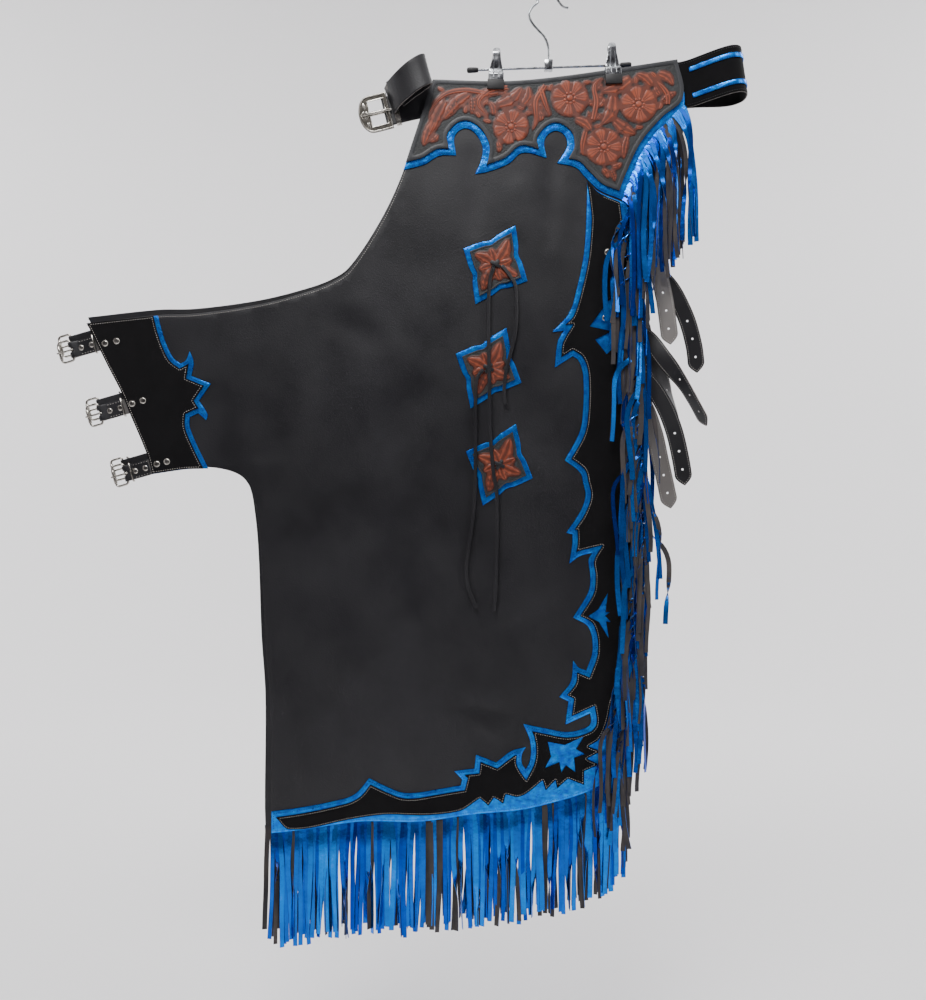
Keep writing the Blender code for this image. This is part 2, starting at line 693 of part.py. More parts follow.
def add_belts(chaps):
    axes = belt_axes(FRONT_BELT_SLOPE, True)
    size = (FRONT_BELT_WIDE, FRONT_BELT_THICK)
    chaps.add("front_belt", band_mesh("front_belt", FRONT_BELT_PATH, FRONT_BELT_AT, axes, *size),
              "smooth black leather")
    chaps.add("front_belt_loop", band_mesh("front_belt_loop", BELT_LOOP_PATH, FRONT_BELT_AT, axes, *size),
              "smooth black leather")
    chaps.add("belt_buckle", buckle_mesh("belt_buckle", axes), "nickel plated metal")
    axes = belt_axes(BACK_BELT_SLOPE, False)
    chaps.add("back_belt", band_mesh("back_belt", BACK_BELT_PATH, BACK_BELT_AT, axes, BACK_BELT_WIDE,
                                     BACK_BELT_THICK), "black suede")
    visible = BACK_BELT_PATH[2:-3]
    lift = (BACK_BELT_THICK + STRIPE_THICK) / 2 + GAP
    for number, rise in enumerate(STRIPE_RISE, 1):
        label = f"back_belt_stripe_{number}"
        mesh = band_mesh(label, visible, BACK_BELT_AT, axes, STRIPE_WIDE, STRIPE_THICK, lift, rise)
        chaps.add(label, mesh, "metallic blue leather")


def buckle_mesh(name, axes):
    """The belt buckle: a rounded plate with two windows beside its tongue."""
    along, out, rise = axes
    near, far = BUCKLE_ALONG
    half = BUCKLE_HALF
    start = far - BUCKLE_ROUND
    outer = [(near, -half), (start, -half)]
    for step in range(1, 6):
        angle = -math.pi / 2 + math.pi * step / 6
        outer.append((start + BUCKLE_ROUND * math.cos(angle), half * math.sin(angle)))
    outer += [(start, half), (near, half)]
    left, right = near + BUCKLE_WINDOW[0], far - BUCKLE_WINDOW[1]
    windows = []
    for sign in (-1, 1):
        low, high = sorted((sign * BUCKLE_TONGUE_HALF, sign * (half - BUCKLE_RIM)))
        windows.append([(left, low), (right, low), (right, high), (left, high)])
    points = []
    edges = []
    for ring in [outer, *windows]:
        first = len(points)
        points += [Vector(p) for p in ring]
        edges += [(first + i, first + (i + 1) % len(ring)) for i in range(len(ring))]
    flat, _, cells, _, _, _ = delaunay_2d_cdt(points, edges, [], 0, 0.01)
    kept = []
    for cell in cells:
        middle = sum((flat[i] for i in cell), Vector((0, 0))) / 3
        if inside(outer, middle) and not any(inside(w, middle) for w in windows):
            kept.append(list(cell))
    origin = Vector((FRONT_BELT_AT[0], 0, FRONT_BELT_AT[1]))
    surface = [origin + along * p.x + rise * p.y for p in flat]
    return wall_mesh(name, surface, kept, BUCKLE_LAYER, -1)


def add_billets(chaps):
    for name, path in BILLETS.items():
        side = side_of(name.split("_")[0])
        sections = []
        middle = sum(STRAP_LAYER) / 2
        thick = STRAP_LAYER[1] - STRAP_LAYER[0]
        for i, (across, up, out, twist) in enumerate(path):
            before, after = path[max(i - 1, 0)], path[min(i + 1, len(path) - 1)]
            heading = Vector((after[0] - before[0], 0, after[1] - before[1])).normalized()
            flat_wide = Vector((-heading.z, 0, heading.x))
            angle = math.radians(twist)
            wide = flat_wide * math.cos(angle) + Vector((0, side, 0)) * math.sin(angle)
            normal = heading.cross(wide)
            centre = Vector((across, side * (out if out > 1 else middle), up))
            half = BILLET_WIDE / 2
            sections.append([centre + wide * u * half + normal * v * thick / 2
                             for u, v in ((-1, -1), (1, -1), (1, 1), (-1, 1))])
        last = sections[-1]
        end = sum(last, Vector()) / 4
        tip = end + heading * BILLET_TIP
        sections.append([tip + (corner - end) * BILLET_TIP_SHARE for corner in last])
        finish_name = "grey flesh side" if name in FLESH_OUT else "smooth black leather"
        chaps.add(name, loft(name, sections), finish_name)


def strap_profile():
    """Side view of a tab strap folded round the buckle's bar: rows are (along, out)."""
    low, high = STRAP_LAYER
    thick = high - low
    inner = BAR_THICK / 2 + BAR_PLAY
    bar_out = high + inner
    outer = inner + thick
    end = STRAP_REACH
    profile = [(-STRAP_TUCK, low), (end, low)]
    for step in range(1, 8):
        angle = -math.pi / 2 + math.pi * step / 8
        profile.append((end + outer * math.cos(angle), bar_out + outer * math.sin(angle)))
    flap = end - FLAP
    profile += [(end, bar_out + outer), (flap, high + GAP + thick), (flap, high + GAP),
                (end, bar_out + inner)]
    for step in range(1, 6):
        angle = math.pi / 2 - math.pi * step / 6
        profile.append((end + inner * math.cos(angle), bar_out + inner * math.sin(angle)))
    near, far = KEEPER
    profile += [(end, high), (far, high), (far, high + thick), (near, high + thick), (near, high)]
    return profile + [(-STRAP_TUCK, high)]


def prism_mesh(name, profile, half_width):
    """Extrudes a side view of (along, out) points across a strap's width."""
    shape = bmesh.new()
    ring = [shape.verts.new((u * MM, v * MM, -half_width * MM)) for u, v in profile]
    face = shape.faces.new(ring)
    raised = bmesh.ops.extrude_face_region(shape, geom=[face])
    tops = [item for item in raised["geom"] if isinstance(item, bmesh.types.BMVert)]
    bmesh.ops.translate(shape, verts=tops, vec=(0, 0, 2 * half_width * MM))
    bmesh.ops.triangulate(shape, faces=shape.faces, ngon_method="EAR_CLIP")
    bmesh.ops.recalc_face_normals(shape, faces=shape.faces)
    mesh = bpy.data.meshes.new(name)
    shape.to_mesh(mesh)
    shape.free()
    return mesh


def box_mesh(name, low, high):
    shape = bmesh.new()
    bmesh.ops.create_cube(shape, size=1.0)
    for vert in shape.verts:
        vert.co = Vector([(l + h) / 2 + c * (h - l) for l, h, c in zip(low, high, vert.co)]) * MM
    mesh = bpy.data.meshes.new(name)
    shape.to_mesh(mesh)
    shape.free()
    return mesh


def tube_object(name, points, thick, cyclic=False, resolution=1):
    """A wire through points in millimetres, made a closed mesh."""
    curve = bpy.data.curves.new(name, "CURVE")
    curve.dimensions = "3D"
    curve.bevel_depth = thick / 2 * MM
    curve.bevel_resolution = resolution
    curve.use_fill_caps = True
    spline = curve.splines.new("POLY")
    spline.points.add(len(points) - 1)
    for place, point in zip(spline.points, points):
        place.co = (*(Vector(point) * MM), 1)
    spline.use_cyclic_u = cyclic
    holder = bpy.data.objects.new(name + "_curve", curve)
    bpy.context.scene.collection.objects.link(holder)
    bpy.context.view_layer.update()
    graph = bpy.context.evaluated_depsgraph_get()
    mesh = bpy.data.meshes.new_from_object(holder.evaluated_get(graph))
    bpy.data.objects.remove(holder, do_unlink=True)
    shape = bmesh.new()
    shape.from_mesh(mesh)
    bmesh.ops.remove_doubles(shape, verts=shape.verts, dist=1e-6)
    bmesh.ops.recalc_face_normals(shape, faces=shape.faces)
    shape.to_mesh(mesh)
    shape.free()
    mesh.name = name
    return mesh


def with_boolean(chaps, target, tool_mesh, operation, place, name):
    """Joins or cuts a piece with a helper shape, and keeps the result as its mesh."""
    tool = chaps.add_cutter(name, tool_mesh, place)
    change = target.modifiers.new(name, "BOOLEAN")
    change.object = tool
    change.operation = operation
    change.solver = "EXACT"


def strap_place(leg, number):
    """Where a tab strap's own axes lie: along the strap, out of the garment, across its width."""
    across, up = turned([TAB_STRAPS[number]], leg)[0]
    side = side_of(leg)
    along = Vector((-math.cos(STRAP_SLOPE), 0, -math.sin(STRAP_SLOPE)))
    out = Vector((0, side, 0))
    wide = along.cross(out)
    turn = Matrix((along, out, wide)).transposed().to_4x4()
    return Matrix.Translation(Vector((across, 0, up)) * MM) @ turn


def add_tab_straps(chaps, leg):
    """Three short straps on the tab, each with a buckle that hinges on its heel bar."""
    bar_out = STRAP_LAYER[1] + BAR_THICK / 2 + BAR_PLAY
    for number in range(len(TAB_STRAPS)):
        place = strap_place(leg, number)
        label = f"{leg}_tab_strap_{number + 1}"
        strap = chaps.add(label, prism_mesh(label, strap_profile(), STRAP_WIDE / 2),
                          "smooth black leather", place)
        slot = PRONG_WIDE / 2 + PRONG_PLAY
        cutter = box_mesh(label + "_slot", (STRAP_REACH - 2.2, bar_out - 1.5, -slot),
                          (STRAP_REACH + 6, bar_out + 6, slot))
        with_boolean(chaps, strap, cutter, "DIFFERENCE", place, label + "_slot")
        hinge = place @ Matrix.Translation(Vector((STRAP_REACH, bar_out, 0)) * MM)
        label = f"{leg}_tab_buckle_{number + 1}"
        frame = chaps.add(label, tube_object(label, frame_points(), BAR_THICK, True),
                          "nickel plated metal", hinge)
        prong = box_mesh(label + "_prong", (-0.6, -PRONG_THICK / 2, -PRONG_WIDE / 2),
                         (FRAME_LONG + PRONG_OVERHANG, PRONG_THICK / 2, PRONG_WIDE / 2))
        tilted = hinge @ Matrix.Rotation(PRONG_TILT, 4, "Z")
        with_boolean(chaps, frame, prong, "UNION", tilted, label + "_prong")


def frame_points():
    """Centre line of a small buckle's frame, with round corners, from its heel bar out."""
    half = FRAME_WIDE / 2
    corner = FRAME_CORNER
    points = [(0, 0, -half), (0, 0, 0), (0, 0, half)]
    for turn in (0, 1, 2):
        angle = math.pi / 2 - turn * math.pi / 4
        points.append((FRAME_LONG - corner + corner * math.cos(angle), 0,
                       half - corner + corner * math.sin(angle)))
    for turn in (0, 1, 2):
        angle = -turn * math.pi / 4
        points.append((FRAME_LONG - corner + corner * math.cos(angle), 0,
                       -half + corner + corner * math.sin(angle)))
    return points


def add_laces(chaps):
    for name, route in LACES.items():
        points = smooth_route([(x, drape(x, z) - LACE_OUT, z) for x, z in route], 4)
        chaps.add(name, tube_object(name, points, LACE_THICK, resolution=2), "smooth black leather")


def smooth_route(route, steps):
    """A smooth curve through a route's own points, cut into short straight pieces."""
    points = [Vector(p) for p in route]
    result = []
    for i in range(len(points) - 1):
        p0, p1, p2 = points[max(i - 1, 0)], points[i], points[i + 1]
        p3 = points[min(i + 2, len(points) - 1)]
        for step in range(steps):
            t = step / steps
            result.append(0.5 * (2 * p1 + (p2 - p0) * t + (2 * p0 - 5 * p1 + 4 * p2 - p3) * t ** 2
                                 + (3 * p1 - p0 - 3 * p2 + p3) * t ** 3))
    return result + [points[-1]]


def hook_route():
    """Hook wire from its tip over the top, down its long side and into the collar."""
    middle = -(HOOK_RADIUS - WIRE_THICK / 2)
    route = [(x, 0, z) for x, z in reversed(HOOK_TIP)]
    for step in range(9):
        angle = math.pi * step / 8
        route.append((HOOK_RADIUS * math.cos(angle), 0, middle + HOOK_RADIUS * math.sin(angle)))
    return route + [(x, 0, z) for x, z in HOOK_TAIL]


def add_hanger(chaps):
    """Hook, collar, bar and soft ends in one piece, and the two clips round the bar."""
    frame = chaps.add("hanger_frame", tube_object("hanger_frame", hook_route(), WIRE_THICK, resolution=2),
                      "chromed spring steel")
    left, right = Vector((BAR_LEFT[0], 0, BAR_LEFT[1])), Vector((BAR_RIGHT[0], 0, BAR_RIGHT[1]))
    along = (right - left).normalized()
    bar = tube_object("hanger_bar", [left, right], WIRE_THICK, resolution=2)
    with_boolean(chaps, frame, bar, "UNION", Matrix(), "hanger_bar")
    thick, long = COLLAR_SIZE
    top, bottom = COLLAR_AT[1] + long / 2, COLLAR_AT[1] - long / 2
    collar = tube_object("hanger_collar", [(COLLAR_AT[0], 0, top), (COLLAR_AT[0], 0, bottom)], 2 * thick,
                         resolution=2)
    with_boolean(chaps, frame, collar, "UNION", Matrix(), "hanger_collar")
    thick, long = BAR_TIP_SIZE
    for name, end, start in (("hanger_tip_left", left - along * 2, left + along * (long - 2)),
                             ("hanger_tip_right", right + along * 2, right - along * (long - 2))):
        with_boolean(chaps, frame, tube_object(name, [end, start], 2 * thick, resolution=2), "UNION",
                     Matrix(), name)
    for number, (across, bar_up, tilt) in enumerate(CLIP_PLACES, 1):
        label = f"hanger_clip_{number}"
        top = CLIP_SHAPE[0][0] + CLIP_WALL
        profile = [(rise, gap + CLIP_WALL) for rise, gap in reversed(CLIP_SHAPE)]
        profile += [(top, CLIP_JAW_HALF), (top, -CLIP_JAW_HALF)]
        profile += [(rise, -gap - CLIP_WALL) for rise, gap in CLIP_SHAPE]
        profile += [(rise, -gap) for rise, gap in reversed(CLIP_SHAPE)]
        profile += CLIP_SHAPE
        turn = Matrix(((0, 0, 1), (0, 1, 0), (1, 0, 0))).to_4x4()
        place = (Matrix.Translation(Vector((across, 0, bar_up)) * MM)
                 @ Matrix.Rotation(-math.radians(tilt), 4, "Y") @ turn)
        mesh = prism_mesh(label, profile, CLIP_WIDE / 2)
        mesh.transform(place)
        flip_outwards(mesh)
        chaps.add(label, mesh, "chromed spring steel")


def flip_outwards(mesh):
    """Turns a closed mesh's faces outwards again after a mirrored placing."""
    shape = bmesh.new()
    shape.from_mesh(mesh)
    bmesh.ops.recalc_face_normals(shape, faces=shape.faces)
    shape.to_mesh(mesh)
    shape.free()


def main():
    clear_scene()
    chaps = Chaps()
    for leg in ("front", "back"):
        add_leg_sheets(chaps, leg)
        add_conchos(chaps, leg)
        add_fringes(chaps, leg)
        add_tab_straps(chaps, leg)
    add_laces(chaps)
    add_billets(chaps)
    add_belts(chaps)
    add_hanger(chaps)


main()
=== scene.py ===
"""Looks of a pair of fringed leather chaps that hang folded from a two-clip hanger.

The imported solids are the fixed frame. Each cloth piece reads its outline from its solid and is cut
again as a thin leather shell with soft folds; tooling, stitching, rivets, fringe, straps and metal
parts follow. Lengths in the tables are millimetres; meshes are made in metres.
"""
import math
import random

import bmesh
import bpy
import numpy as np
from bpy.props import FloatProperty, FloatVectorProperty, PointerProperty
from mathutils import Matrix, Vector
from mathutils.geometry import delaunay_2d_cdt


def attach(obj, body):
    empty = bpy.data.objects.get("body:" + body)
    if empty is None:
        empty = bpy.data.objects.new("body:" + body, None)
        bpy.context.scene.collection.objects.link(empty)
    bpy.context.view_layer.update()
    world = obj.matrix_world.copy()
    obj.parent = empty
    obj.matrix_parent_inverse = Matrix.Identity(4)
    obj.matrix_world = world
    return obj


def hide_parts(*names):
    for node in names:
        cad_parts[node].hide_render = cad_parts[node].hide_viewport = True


bl_info = {
    "name": "Leather chaps",
    "version": (1, 0, 0),
    "blender": (4, 5, 0),
    "location": "View3D > Sidebar > Chaps",
    "description": "Builds the looks of fringed leather chaps around their packed solids",
    "category": "Object",
}

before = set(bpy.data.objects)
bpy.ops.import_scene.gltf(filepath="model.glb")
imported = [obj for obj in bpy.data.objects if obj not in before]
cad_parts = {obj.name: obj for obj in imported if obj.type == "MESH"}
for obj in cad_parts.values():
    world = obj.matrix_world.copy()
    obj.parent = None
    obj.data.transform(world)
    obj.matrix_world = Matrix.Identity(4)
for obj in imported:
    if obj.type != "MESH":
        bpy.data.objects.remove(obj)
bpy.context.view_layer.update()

MM = 0.001
LEGS = ("front", "back")

# Distances out from the middle plane between the legs, inner face and outer face
PANEL_LAYER = (2.1, 4.1)
TRIM_LAYER = (4.4, 5.4)
SUEDE_LAYER = (5.7, 6.9)
TOOLED_LAYER = (5.7, 7.1)

# The back leg hangs turned by this angle about the clips
BACK_TURN = -0.012
BACK_PIVOT = (5.0, -126.0)
BACK_SHIFT = (2.0, 2.0)

# Hanging folds: depth at full growth across the garment, and their growth on the way down
FOLDS = [(-480, 0), (-400, 3), (-320, -2), (-240, 4), (-170, -4), (-100, 5), (-30, -3), (30, 3), (90, 0)]
GROWTH = [(-280, 0), (-430, 0.3), (-580, 0.5), (-730, 0.7), (-880, 0.9), (-1000, 1.05), (-1110, 1.2)]
# Creases: start (across, up), end (across, up), width and depth towards the back
CREASES = [
    ((-98, -205), (-92, -330), 15, 1.6),
    ((8, -205), (2, -345), 13, 1.6),
    ((-34, -245), (-40, -330), 16, -1.0),
    ((-368, -640), (-255, -705), 12, 1.6),
    ((-378, -662), (-300, -745), 10, -1.3),
    ((-430, -610), (-330, -600), 14, 1.2),
    ((-300, -420), (-200, -470), 17, 1.3),
    ((-255, -400), (-150, -520), 20, -1.2),
    ((-180, -600), (-120, -760), 20, 1.2),
    ((-20, -640), (-5, -800), 16, -1.4),
    ((-300, -800), (-250, -980), 20, 1.4),
    ((-210, -880), (-180, -1030), 15, -1.4),
    ((-120, -930), (-40, -945), 7, 1.0),
    ((-100, -950), (-50, -975), 6, -0.8),
    ((-340, -900), (-310, -1050), 12, -1.2),
    ((-60, -840), (10, -800), 9, 1.0),
]


def smooth_table(rows, values):
    """Reads a table of (place, amount) rows as a smooth curve, level past its ends."""
    places, amounts = np.array(sorted(rows), float).T
    slopes = np.gradient(amounts, places)
    slopes[0] = slopes[-1] = 0.0
    values = np.clip(values, places[0], places[-1])
    index = np.clip(np.searchsorted(places, values) - 1, 0, len(places) - 2)
    width = places[index + 1] - places[index]
    t = (values - places[index]) / width
    return (amounts[index] * (2 * t ** 3 - 3 * t ** 2 + 1) + amounts[index + 1] * (3 * t ** 2 - 2 * t ** 3)
            + width * (slopes[index] * (t ** 3 - 2 * t ** 2 + t) + slopes[index + 1] * (t ** 3 - t ** 2)))


def depth(across, up):
    """Depth of the hanging cloth towards the back at (across, up): its folds and its creases."""
    across = np.asarray(across, float)
    up = np.asarray(up, float)
    result = smooth_table(FOLDS, across) * smooth_table(GROWTH, up)
    for start, end, width, amount in CREASES:
        along = np.array(end, float) - start
        share = ((across - start[0]) * along[0] + (up - start[1]) * along[1]) / (along @ along)
        share = np.clip(share, 0.0, 1.0)
        away_x = across - start[0] - share * along[0]
        away_z = up - start[1] - share * along[1]
        fade = 1.0 - (2.0 * share - 1.0) ** 4
        result = result + amount * fade * np.exp(-(away_x ** 2 + away_z ** 2) / width ** 2)
    return result


def side_of(leg):
    return -1 if leg == "front" else 1


def on_leg(points, leg):
    """Places (across, up) points of the front leg on either leg."""
    if leg == "front":
        return [tuple(p) for p in points]
    cosine, sine = math.cos(BACK_TURN), math.sin(BACK_TURN)
    result = []
    for x, z in points:
        dx, dz = x - BACK_PIVOT[0], z - BACK_PIVOT[1]
        result.append((BACK_PIVOT[0] + dx * cosine - dz * sine + BACK_SHIFT[0],
                       BACK_PIVOT[1] + dx * sine + dz * cosine + BACK_SHIFT[1]))
    return result


def linear(hex_colour):
    """Turns an sRGB hex colour into linear red, green, blue and full alpha."""
    channels = [int(hex_colour[i:i + 2], 16) / 255 for i in (1, 3, 5)]
    return [c / 12.92 if c <= 0.04045 else ((c + 0.055) / 1.055) ** 2.4 for c in channels] + [1.0]


def add_node(tree, kind, inputs=None, **settings):
    """Adds a node, sets its properties, and sets or links the inputs named or numbered."""
    node = tree.nodes.new(kind)
    for key, value in settings.items():
        setattr(node, key, value)
    for key, value in (inputs or {}).items():
        if isinstance(value, bpy.types.NodeSocket):
            tree.links.new(value, node.inputs[key])
        else:
            node.inputs[key].default_value = value
    return node


# Outlines read from the solids


def area_of(loop):
    points = np.array(loop)
    following = np.roll(points, -1, axis=0)
    return float((points[:, 0] * following[:, 1] - following[:, 0] * points[:, 1]).sum() / 2)


def anticlockwise(loop):
    return loop if area_of(loop) > 0 else loop[::-1]


def turn_at(before, here, after):
    first = math.atan2(here[1] - before[1], here[0] - before[0])
    second = math.atan2(after[1] - here[1], after[0] - here[0])
    return (second - first + math.pi) % (2 * math.pi) - math.pi


def outline_of(node, side):
    """Outer loop of a flat solid's outward face, as (across, up) points without the in-line ones."""
    shape = bmesh.new()
    shape.from_mesh(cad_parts[node].data)
    bmesh.ops.remove_doubles(shape, verts=shape.verts, dist=1e-5)
    shape.normal_update()
    following = {}
    for edge in shape.edges:
        outward = [loop for loop in edge.link_loops if loop.face.normal.y * side > 0.5]
        if len(outward) == 1:
            following[outward[0].vert] = outward[0].link_loop_next.vert
    loops = []
    while following:
        vert = next(iter(following))
        loop = []
        while vert in following:
            loop.append((vert.co.x / MM, vert.co.z / MM))
            vert = following.pop(vert)
        loops.append(loop)
    shape.free()
    loop = anticlockwise(max(loops, key=lambda ring: abs(area_of(ring))))
    count = len(loop)
    return [loop[i] for i in range(count)
            if abs(turn_at(loop[i - 1], loop[i], loop[(i + 1) % count])) > 0.01]


def soft_line(points, closed, step=3.0, corner=math.radians(48)):
    """A line rounded between its corners and cut into steps; sharp turns stay sharp."""
    points = [Vector(p) for p in points]
    count = len(points)
    result = []
    last = count if closed else count - 1

    def heading(i, other):
        """Direction of the line at point i, on the segment that ends in point other."""
        at_end = not closed and i in (0, count - 1)
        before, here, after = points[i - 1], points[i], points[(i + 1) % count]
        if at_end or abs(turn_at(before, here, after)) > corner:
            return (points[other] - here).normalized()
        return (after - before).normalized() * (1 if other == (i + 1) % count else -1)

    for i in range(last):
        j = (i + 1) % count
        start, end = points[i], points[j]
        length = (end - start).length
        leave, arrive = heading(i, j) * length, -heading(j, i) * length
        steps = max(1, round(length / step))
        for k in range(steps):
            t = k / steps
            result.append(tuple(start * (2 * t ** 3 - 3 * t ** 2 + 1) + end * (3 * t ** 2 - 2 * t ** 3)
                                + leave * (t ** 3 - 2 * t ** 2 + t) + arrive * (t ** 3 - t ** 2)))
    if not closed:
        result.append(tuple(points[-1]))
    return result


def cut_line(node, side):
    """The smooth cut outline of a flat solid; the yoke's round cut-outs stay round."""
    corner = math.radians(70 if "yoke" in node else 48)
    return soft_line(outline_of(node, side), True, corner=corner)


def inside(loop, points):
    """Tells which of many points lie inside a closed outline."""
    points = np.asarray(points, float)
    ring = np.array(loop, float)
    following = np.roll(ring, -1, axis=0)
    crossings = np.zeros(len(points), int)
    for (ax, az), (bx, bz) in zip(ring, following):
        if az == bz:
            continue
        spans = (az > points[:, 1]) != (bz > points[:, 1])
        crossings += spans & (points[:, 0] < (bx - ax) * (points[:, 1] - az) / (bz - az) + ax)
    return crossings % 2 == 1


def distance_to(line, points):
    """Distance from each point to the nearest of a line's points."""
    line = np.array(line, float)
    points = np.asarray(points, float)
    best = np.full(len(points), np.inf)
    for start in range(0, len(line), 200):
        part = line[start:start + 200]
        away = np.hypot(points[:, None, 0] - part[None, :, 0], points[:, None, 1] - part[None, :, 1])
        best = np.minimum(best, away.min(axis=1))
    return best


def inset_runs(loop, distance, closed=True):
    """Runs of points that stay one distance inside a smooth outline; tight tips are passed by."""
    ring = np.array(loop, float)
    if closed:
        along = np.roll(ring, -1, axis=0) - np.roll(ring, 1, axis=0)
    else:
        along = np.gradient(ring, axis=0)
    along /= np.maximum(np.hypot(along[:, 0], along[:, 1])[:, None], 1e-9)
    moved = ring + np.stack([-along[:, 1], along[:, 0]], axis=1) * distance
    kept = distance_to(loop, moved) > 0.93 * abs(distance)
    runs = [[]]
    order = list(range(len(ring)))
    if closed and not kept.all():
        first = int(np.argmin(kept))
        order = order[first:] + order[:first]
    for i in order:
        if kept[i]:
            runs[-1].append(tuple(moved[i]))
        elif runs[-1]:
            runs.append([])
    if closed and kept.all():
        runs[0].append(runs[0][0])
    return [run for run in runs if len(run) > 2]


def stretch(loop, start, end):
    """The part of a closed outline between the points nearest to two places, going its own way."""
    def nearest(place):
        return min(range(len(loop)), key=lambda i: math.dist(loop[i], place))

    first, last = nearest(start), nearest(end)
    if last < first:
        last += len(loop)
    return [loop[i % len(loop)] for i in range(first, last + 1)]


# Meshes and pieces

# Triangles under this area, in square millimetres, lie along straight edges and are dropped
SLIVER = 0.01


def mesh_of(name, points, faces, bevel=0.0, side=0):
    """A mesh from points in millimetres, with outward faces; bevel rounds its outward rim."""
    mesh = bpy.data.meshes.new(name)
    mesh.from_pydata([Vector(p) * MM for p in points], [], faces)
    shape = bmesh.new()
    shape.from_mesh(mesh)
    bmesh.ops.remove_doubles(shape, verts=shape.verts, dist=1e-7)
    bmesh.ops.recalc_face_normals(shape, faces=shape.faces)
    if bevel:
        rim = [edge for edge in shape.edges if len(edge.link_faces) == 2
               and edge.calc_face_angle(0) > 1.0
               and (side == 0 or max(face.normal.y * side for face in edge.link_faces) > 0.6)]
        bmesh.ops.bevel(shape, geom=rim, offset=bevel * MM, segments=2, affect="EDGES", profile=0.5,
                        clamp_overlap=True)
    shape.to_mesh(mesh)
    shape.free()
    return mesh


def smooth(mesh):
    for polygon in mesh.polygons:
        polygon.use_smooth = True


def shade(mesh, angle=40):
    smooth(mesh)
    mesh.set_sharp_from_angle(angle=math.radians(angle))


def filled(loop, spacing, holes=()):
    """Fills an outline with triangles on a staggered grid: flat points and cells."""
    points = []
    edges = []
    for ring in [loop, *holes]:
        first = len(points)
        points += list(ring)
        edges += [(first + i, first + (i + 1) % len(ring)) for i in range(len(ring))]
    low, high = np.min(loop, axis=0), np.max(loop, axis=0)
    grid = []
    for row, up in enumerate(np.arange(low[1] + spacing / 2, high[1], spacing * 0.87)):
        shift = spacing / 2 * (row % 2)
        grid += [(x, up) for x in np.arange(low[0] + spacing / 2 + shift, high[0], spacing)]
    if grid:
        keep = inside(loop, grid) & (distance_to(points, grid) > spacing * 0.55)
        for hole in holes:
            keep &= ~inside(hole, grid)
        points += [point for point, use in zip(grid, keep) if use]
    flat, _, cells, *_ = delaunay_2d_cdt([Vector(p) for p in points], edges, [], 0, 1e-4)
    corners = np.array([[flat[i] for i in cell] for cell in cells])
    sides = corners[:, 1:] - corners[:, :1]
    areas = abs(sides[:, 0, 0] * sides[:, 1, 1] - sides[:, 0, 1] * sides[:, 1, 0]) / 2
    middles = corners.mean(axis=1)
    keep = inside(loop, middles) & (areas > SLIVER)
    for hole in holes:
        keep &= ~inside(hole, middles)
    return flat, [list(cell) for cell, use in zip(cells, keep) if use]


def walled(name, inner, outer, cells, bevel=0.0, side=0):
    """A closed wall between two copies of a surface."""
    count = len(inner)
    border = {}
    for cell in cells:
        for a, b in zip(cell, cell[1:] + cell[:1]):
            if (b, a) in border:
                del border[(b, a)]
            else:
                border[(a, b)] = True
    faces = cells + [[i + count for i in reversed(cell)] for cell in cells]
    faces += [[b, a, a + count, b + count] for a, b in border]
    used = sorted({i for face in faces for i in face})
    place = {old: new for new, old in enumerate(used)}
    points = [*inner, *outer]
    faces = [[place[i] for i in face] for face in faces]
    return mesh_of(name, [points[i] for i in used], faces, bevel, side)


def leather_sheet(name, loop, layer, side, spacing, holes=(), bevel=0.3):
    """Cuts a smooth outline from leather, hung in the folds at its own distance out."""
    flat, cells = filled(loop, spacing, holes)
    across, up = np.array([p.x for p in flat]), np.array([p.y for p in flat])
    back = depth(across, up)
    inner = np.stack([across, back + side * layer[0], up], axis=1)
    outer = np.stack([across, back + side * layer[1], up], axis=1)
    mesh = walled(name, inner, outer, cells, bevel, side)
    shade(mesh)
    return mesh


def on_cloth(points, out, side):
    """Lifts (across, up) points onto the cloth, at a distance out from the middle plane."""
    array = np.array(points, float)
    back = depth(array[:, 0], array[:, 1]) + side * out
    return [(x, y, z) for (x, z), y in zip(points, back)]


def add_piece(name, mesh, materials, replaces=(), body="root"):
    """Makes the object of a finished piece, gives it its finishes, hangs it under its body and hides the solids it
    replaces.
    """
    piece = bpy.data.objects.new(name, mesh)
    bpy.context.scene.collection.objects.link(piece)
    for material in materials or ():
        mesh.materials.append(finish(material))
    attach(piece, body)
    if replaces:
        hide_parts(*replaces)
    return piece


def declare_cut(loop):
    """Works out the flat cut of a leather piece from its outline, its box and its own area, and keeps neither."""
    low, high = np.min(loop, axis=0), np.max(loop, axis=0)
    wide, long = (high - low) * MM
    area = abs(area_of(loop)) * MM * MM
    if area < 0.32 * wide * long:
        wide = area / (0.5 * long)


# Geometry node trees


def new_tree(name, sockets):
    """A geometry node tree with named inputs, and its two end nodes."""
    tree = bpy.data.node_groups.new(name, "GeometryNodeTree")
    tree.interface.new_socket("Geometry", in_out="OUTPUT", socket_type="NodeSocketGeometry")
    tree.interface.new_socket("Geometry", in_out="INPUT", socket_type="NodeSocketGeometry")
    for label, kind in sockets:
        tree.interface.new_socket(label, in_out="INPUT", socket_type="NodeSocket" + kind)
    return tree, add_node(tree, "NodeGroupInput").outputs


def close_tree(tree, geometry, material):
    """Ends a tree: instances made real, smooth faces, material."""
    real = add_node(tree, "GeometryNodeRealizeInstances", {"Geometry": geometry})
    smooth = add_node(tree, "GeometryNodeSetShadeSmooth", {"Geometry": real.outputs[0]})
    painted = add_node(tree, "GeometryNodeSetMaterial", {"Geometry": smooth.outputs[0], "Material": material})
    add_node(tree, "NodeGroupOutput", {0: painted.outputs[0]})
    return tree


